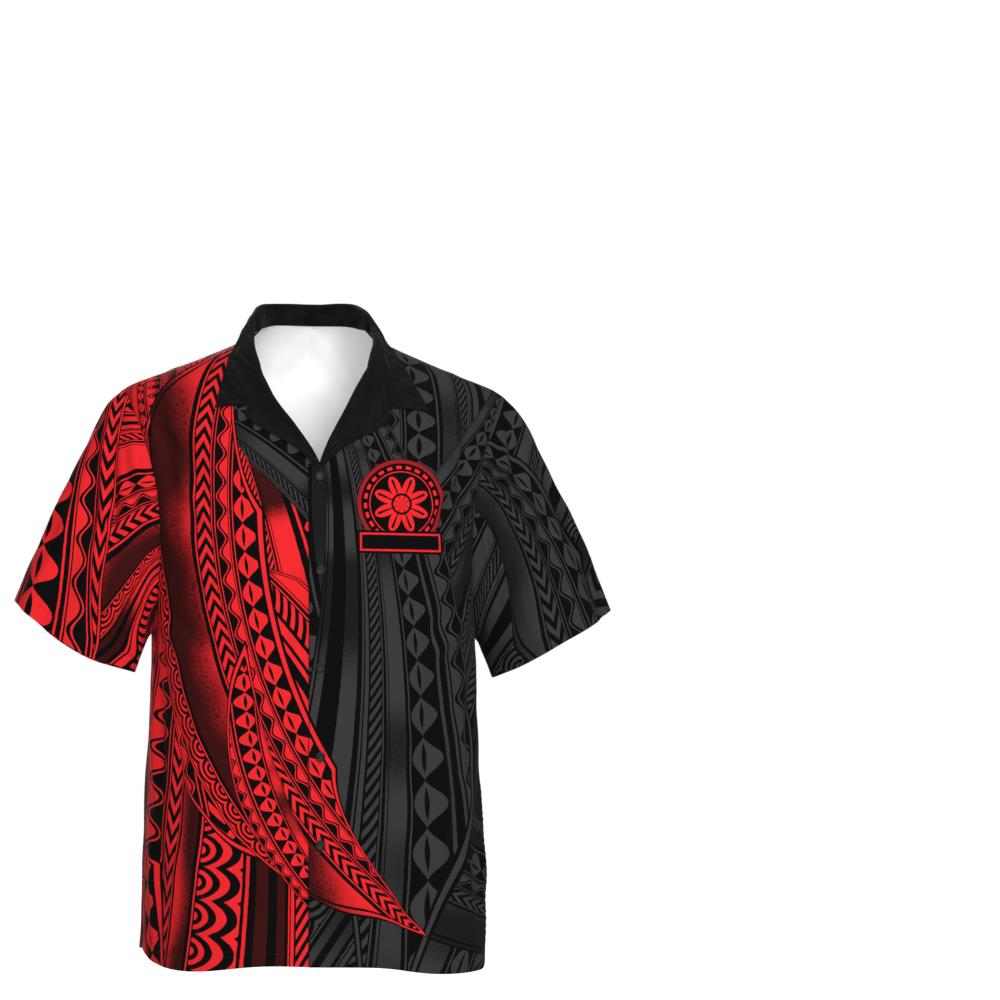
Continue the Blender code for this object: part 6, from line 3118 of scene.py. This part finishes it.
BACK_SWEEPS = (
    Sweep((560, -330), (96, -360), 72, 0.055, 5, Ink.RED, shift=3, span=(-16, 14), tip=9),
    Sweep((70, -960), (190, -560), -16, 0.105, 6, Ink.RED, shift=0, span=(-9, 4), tip=5),
    Sweep((0, 300), (60, -400), 16, 0.072, 9, Ink.RED, shift=1, span=(-30, 22), tip=7),
    Sweep((-420, -520), (-250, -520), 72, 0.078, 6, Ink.CHARCOAL, shift=4, span=(-20, 20), tip=8),
    Sweep((120, 160), (-150, -240), 22, 0.06, 7, Ink.CHARCOAL, shift=2, span=(-30, 10), tip=8),
    Sweep((-60, -3000), (500, -300), 0, 0.0106, 110, Ink.CHARCOAL, shift=1),
)
SLEEVE_SWEEPS = {
    -1: (
        Sweep((-360, 60), (-40, -150), 40, 0.085, 4, Ink.RED, shift=0, span=(-12, 9), tip=7),
        Sweep((380, -420), (100, -230), 34, 0.075, 5, Ink.CHARCOAL, shift=6, span=(-9, 8), tip=5),
        Sweep((330, 420), (-700, 260), 24, 0.05, 90, Ink.RED, shift=4),
    ),
    1: (
        Sweep((360, 60), (40, -150), -40, 0.085, 4, Ink.CHARCOAL, shift=3, span=(-12, 9), tip=7),
        Sweep((-380, -420), (-60, -200), -34, 0.075, 5, Ink.CHARCOAL, shift=6, span=(-9, 8), tip=5),
        Sweep((-330, 420), (-700, 260), -24, 0.05, 90, Ink.CHARCOAL, shift=1),
    ),
}

FRONT_LEFT_FOLDS = (
    Fold((186, -60), (176, -130), (168, -230), 7, -2.6, -1),
    Fold((172, -120), (150, -170), (118, -214), 6, 1.6, 1),
    Fold((196, -300), (160, -345), (110, -372), 9, 2.2, -1),
    Fold((212, -352), (190, -430), (196, -520), 8, -2.2, 1),
    Fold((150, -420), (142, -500), (150, -600), 10, 1.7, 1),
    Fold((52, -250), (40, -330), (48, -400), 7, -0.9, -1),
    Fold((30, -470), (36, -560), (28, -660), 8, -1.1, 1),
    Fold((226, -500), (214, -590), (220, -690), 9, 2.4, -1),
    Fold((104, -560), (98, -630), (106, -705), 9, -2.0, 1),
)
FRONT_RIGHT_FOLDS = (
    Fold((-200, -88), (-184, -116), (-158, -138), 8, -1.3, 1),
    Fold((-190, -70), (-178, -150), (-172, -240), 9, -1.9, 1),
    Fold((-168, -150), (-140, -196), (-112, -232), 7, 1.5, -1),
    Fold((-206, -318), (-170, -352), (-122, -366), 9, 2.4, 1),
    Fold((-218, -360), (-196, -450), (-204, -560), 8, -2.2, -1),
    Fold((-140, -430), (-150, -520), (-142, -610), 10, 1.8, -1),
    Fold((-36, -300), (-44, -390), (-34, -480), 7, -1.1, 1),
    Fold((-228, -540), (-216, -620), (-222, -700), 9, 2.2, 1),
    Fold((-92, -560), (-86, -640), (-96, -712), 9, -1.8, -1),
)
BACK_FOLDS = (
    Fold((-196, -70), (-184, -150), (-170, -250), 9, -3.0, 1),
    Fold((196, -66), (182, -160), (172, -262), 9, -3.0, -1),
    Fold((-206, -330), (-150, -372), (-88, -384), 11, 2.8, 1),
    Fold((208, -326), (156, -380), (100, -398), 11, 2.6, -1),
    Fold((-60, -130), (0, -150), (62, -126), 10, 1.6, 1),
    Fold((-220, -420), (-204, -530), (-212, -640), 10, -2.4, -1),
    Fold((214, -400), (204, -500), (216, -610), 10, -2.4, 1),
    Fold((-104, -470), (-116, -580), (-104, -700), 11, 2.0, -1),
    Fold((36, -420), (22, -540), (34, -690), 11, -1.7, 1),
    Fold((122, -520), (134, -610), (124, -706), 10, 2.2, 1),
)
SLEEVE_FOLD_LINES = {
    1: (
        Fold((46, -40), (76, -88), (122, -142), 6, -2.4, 1),
        Fold((64, -44), (104, -82), (150, -118), 6, -2.3, -1),
        Fold((62, -112), (96, -150), (112, -206), 8, 1.8, -1),
        Fold((24, -120), (34, -180), (22, -258), 8, -1.6, -1),
        Fold((136, -178), (140, -220), (132, -262), 9, 1.9, 1),
        Fold((150, -122), (178, -152), (192, -200), 6, -2.2, 1),
        Fold((-30, -40), (-80, -84), (-130, -140), 9, -2.4, -1),
        Fold((-70, -120), (-92, -170), (-84, -240), 9, 1.8, 1),
        Fold((-140, -170), (-128, -214), (-136, -260), 9, -1.6, -1),
    ),
    -1: (
        Fold((46, -24), (98, -60), (150, -114), 8, 2.4, -1),
        Fold((40, -48), (84, -100), (130, -164), 7, -3.3, -1),
        Fold((42, -78), (70, -126), (92, -182), 6, -2.2, 1),
        Fold((20, -130), (14, -190), (26, -260), 8, 1.5, 1),
        Fold((134, -170), (128, -214), (138, -262), 9, 1.8, -1),
        Fold((152, -142), (124, -160), (90, -158), 6, -1.4, -1),
        Fold((-28, -44), (-86, -88), (-128, -146), 9, -2.4, 1),
        Fold((-60, -130), (-78, -180), (-70, -250), 9, 1.7, -1),
        Fold((-138, -176), (-146, -220), (-134, -262), 9, -1.6, 1),
    ),
}


class Shirt:
    """The whole shirt: its panels, collar, buttons and stitching, on one form."""

    def __init__(self) -> None:
        """Lays out the form and names the pieces."""
        self.form = ShirtForm()
        self.effects = Effects()
        self.fronts = {hand: self.form.half_panel(Face.FRONT, hand) for hand in (1, -1)}
        self.backs = {hand: self.form.half_panel(Face.BACK, hand) for hand in (1, -1)}
        left, right, back = Drape(FRONT_LEFT_FOLDS, 11), Drape(FRONT_RIGHT_FOLDS, 23), Drape(BACK_FOLDS, 37)
        front_cut, back_cut = ((0.30, 0.79), 0.195), ((0.56, 0.80), 0.39)
        self.panels = {
            "front_left": BodyPanel("front_left", Face.FRONT, (1,), left, *front_cut),
            "front_right": BodyPanel("front_right", Face.FRONT, (-1,), right, *front_cut),
            "back": BodyPanel("back", Face.BACK, (1, -1), back, *back_cut, fine_rows=12, fine_columns=6),
        }
        self.sleeves = {
            hand: SleevePanel(hand, Drape(SLEEVE_FOLD_LINES[hand], 50 + hand, strength=2.7))
            for hand in (1, -1)
        }
        self.collar = CollarSet()
        self.buttons = ButtonRow()

    def trees(self) -> dict[int, BVHTree]:
        """The solid's own coarse surface of each side, to lay the collar on.

        Returns:
            The surfaces, by hand.
        """
        made = {}
        for hand in (1, -1):
            verts: list[Vector] = []
            faces: list[tuple[int, ...]] = []
            for grid, turned in ((self.fronts[hand], False), (self.backs[hand], True)):
                first, (rows, columns) = len(verts), grid.shape[:2]
                verts += [Vector(point) for point in grid[..., :3].reshape(-1, 3)]
                for r in range(rows - 1):
                    for c in range(columns - 1):
                        a = first + r * columns + c
                        quad = (a, a + 1, a + 1 + columns, a + columns)
                        faces.append(quad[::-1] if turned else quad)
            made[hand] = BVHTree.FromPolygons(verts, faces)
        return made

    def shape(self) -> None:
        """Shapes every cloth piece."""
        for panel in self.panels.values():
            panel.shape(self.form, self.backs if panel.face is Face.BACK else self.fronts)
        first = self.form.body_rows
        for hand, sleeve in self.sleeves.items():
            front = self.panels[f"front_{Hand(hand).label}"]
            self.panels["back"].joined_to(front, self.form)
            edges = (grids[hand][first:, -1, :3] for grids in (self.fronts, self.backs))
            sleeve.shape(self.form, self.form.sleeve(hand, *edges), front, self.panels["back"])
        self.collar.shape(self.form, self.fronts, self.backs, self.trees())
        LOG.info("shaped %d body panels, %d sleeves and the collar", len(self.panels), len(self.sleeves))

    def dress(self) -> None:
        """Makes every piece with its finish."""
        white = ClothFinish(
            (0.92, 0.92, 0.92), roughness=0.9, specular=0.1, rumple_depth=0.0004, mottle=0.01
        )
        plain = ClothFinish(
            (0.0022, 0.0022, 0.0023),
            roughness=0.75,
            sheen=0.022,
            specular=0.08,
            rumple_depth=0.012,
            # Strong mottle: random blotches of painted shade and light on the black cloth, in place of the
            # shading of its wrinkles.
            mottle=0.5,
        )
        lining = white.build("unprinted_side", self.effects)
        black = plain.build("plain_black_cloth", self.effects)
        ground = PrintFinish((0.0015, 0.0015, 0.0016))
        sweeps = {"front_left": FRONT_LEFT_SWEEPS, "front_right": FRONT_RIGHT_SWEEPS, "back": BACK_SWEEPS}
        sweeps |= {sleeve.name: SLEEVE_SWEEPS[hand] for hand, sleeve in self.sleeves.items()}
        for panel in (*self.panels.values(), *self.sleeves.values()):
            crest = Crest() if panel.name == "front_left" else None
            printed = ground.build_print(f"{panel.name}_print", self.effects, sweeps[panel.name], crest)
            report(panel.build([printed, lining], sweeps[panel.name]))
        for hand, name in ((1, "front_left"), (-1, "front_right")):
            report(FrontFacing(hand).build(self.form, self.panels[name], black))
        cuts = {f"lapel_{hand.label}": (0.075, 0.13, 0.005) for hand in Hand}
        for piece in self.collar.build(black, {"collar": (0.46, 0.085, 0.027), **cuts}):
            report(piece)
        thread = ThreadFinish().build("black_thread")
        for piece in self.buttons.build(self.form, ResinFinish().build("button_resin"), thread):
            report(piece)
        self.stitch(thread)

    def stitch(self, thread: bpy.types.Material) -> None:
        """Lays the visible rows of stitches.

        Args:
            thread: The thread's material.
        """
        sewing = Stitching()
        panels = self.panels.values()
        lines = [inset_line(panel.patch, "first_row", panel.hem - HEM_STITCH) for panel in panels]
        rows = {"hem_stitches": [(line[3:-3], up[3:-3]) for line, up in lines]}
        for hand, sleeve in self.sleeves.items():
            cuff = inset_line(sleeve.patch, "last_row", sleeve.hem - HEM_STITCH)
            rows[f"cuff_stitches_{Hand(hand).label}"] = [cuff]
        for name, runs in rows.items():
            report(sewing.build(name, runs, thread, SUNK_THREAD))
        proud = self.collar.wall / 2 - 0.2
        for name in self.collar.patches:
            report(sewing.build(f"{name}_stitches", self.collar.edges(name), thread, proud))


def report(piece: bpy.types.Object) -> None:
    """Logs a finished piece."""
    faces = sum(len(face.vertices) - 2 for face in piece.data.polygons)
    LOG.info("%s: %d triangles before its wall", piece.name, faces)


@dataclass
class Studio:
    """The floor, the lights and the camera.

    Attributes:
        floor_drop: How far the floor lies under the origin.
        target: The point that the view is measured from.
        distance: From that point to the camera.
        turn: How far the camera stands round to the wearer's right, in degrees.
        aside: How far the view's middle lies from the target, to the image's right and up.
        lens: Focal length.
    """

    floor_drop: float = 1.45
    target: tuple[float, float, float] = (0.0, 0.0, -0.340)
    distance: float = 8.0
    turn: float = 3.5
    aside: tuple[float, float] = (0.2145, 0.1587)
    lens: float = 250.4

    def build(self) -> None:
        """Makes the whole stage."""
        self.lay_floor()
        self.light_world()
        self.hang_lamps()
        self.place_camera()
        bpy.context.scene.view_settings.view_transform = "Standard"
        LOG.info("stage, lights and camera are in place")

    def lay_floor(self) -> None:
        """A wide pale floor, well under the shirt."""
        bm = bmesh.new()
        bmesh.ops.create_grid(bm, x_segments=8, y_segments=8, size=30.0)
        bmesh.ops.translate(bm, verts=bm.verts, vec=(0, 0, -self.floor_drop))
        made, g, shader = new_material(
            "pale_floor", Roughness=0.9, Specular_IOR_Level=0.1, Emission_Color=(1.0, 1.0, 1.0, 1.0)
        )
        seen = g.node("ShaderNodeLightPath").outputs["Is Camera Ray"]
        g.feed(shader.inputs["Emission Strength"], g.ramp(seen, 0.0, 1.0, 0.1, 1.0))
        cloud = g.noise(g.node("ShaderNodeTexCoord").outputs["Object"], 0.6, 2.0)
        g.feed(shader.inputs["Base Color"], g.mix(cloud, (0.80, 0.80, 0.80, 1.0), (0.84, 0.84, 0.84, 1.0)))
        floor = linked_object("floor", bm, [made])

    def light_world(self) -> None:
        """A pale surround that looks brighter than it lights."""
        world = bpy.data.worlds.new("pale_surround")
        bpy.context.scene.world = world
        world.use_nodes = True
        g = Graph(world.node_tree)
        back = world.node_tree.nodes["Background"]
        seen = g.node("ShaderNodeLightPath").outputs["Is Camera Ray"]
        g.feed(back.inputs["Color"], (1.0, 1.0, 1.0, 1.0))
        g.feed(back.inputs["Strength"], g.ramp(seen, 0.0, 1.0, 0.23, 1.0))

    def hang_lamps(self) -> None:
        """A large soft key from the front, a fill and a top light."""
        self.lamp("key", (1.0, -3.0, 1.35), (0, 0, -0.35), 1.3, 103.0)
        self.lamp("fill", (-0.7, -3.6, 0.1), (0, 0, -0.35), 2.6, 62.0)
        self.lamp("top", (0.0, 0.4, 2.6), (0, 0, -0.2), 2.6, 36.0)
        self.lamp("behind", (-0.7, 3.4, 1.1), (0, 0, -0.35), 1.9, 100.0)

    @staticmethod
    def lamp(name: str, place: Sequence[float], aim: Sequence[float], size: float, power: float) -> None:
        """Adds one square area light.

        Args:
            name: The lamp's name.
            place: Where it hangs.
            aim: What it points at.
            size: Width of its square.
            power: Its power, in watts.
        """
        data = bpy.data.lights.new(name, "AREA")
        data.size = size
        data.energy = power
        lamp = bpy.data.objects.new(name, data)
        lamp.location = place
        lamp.rotation_euler = (Vector(aim) - Vector(place)).to_track_quat("-Z", "Y").to_euler()
        bpy.context.scene.collection.objects.link(lamp)

    def place_camera(self) -> None:
        """The camera, nearly level and a little to the wearer's right."""
        turn = math.radians(self.turn)
        target = Vector(self.target)
        place = target + Vector((-math.sin(turn), -math.cos(turn), 0.0)) * self.distance
        right = Vector((math.cos(turn), -math.sin(turn), 0.0))
        middle = target + right * self.aside[0] + Vector((0.0, 0.0, 1.0)) * self.aside[1]
        data = bpy.data.cameras.new("camera")
        data.lens = self.lens
        data.sensor_width = 36.0
        data.clip_end = 100.0
        camera = bpy.data.objects.new("camera", data)
        camera.location = place
        camera.rotation_euler = (middle - place).to_track_quat("-Z", "Y").to_euler()
        bpy.context.scene.collection.objects.link(camera)
        bpy.context.scene.camera = camera


def main() -> None:
    """Builds the stage and the shirt."""
    logging.basicConfig(level=logging.INFO, format="%(name)s: %(message)s")
    Studio().build()
    shirt = Shirt()
    shirt.shape()
    shirt.dress()
    bpy.context.view_layer.update()


if __name__ == "__main__":
    main()
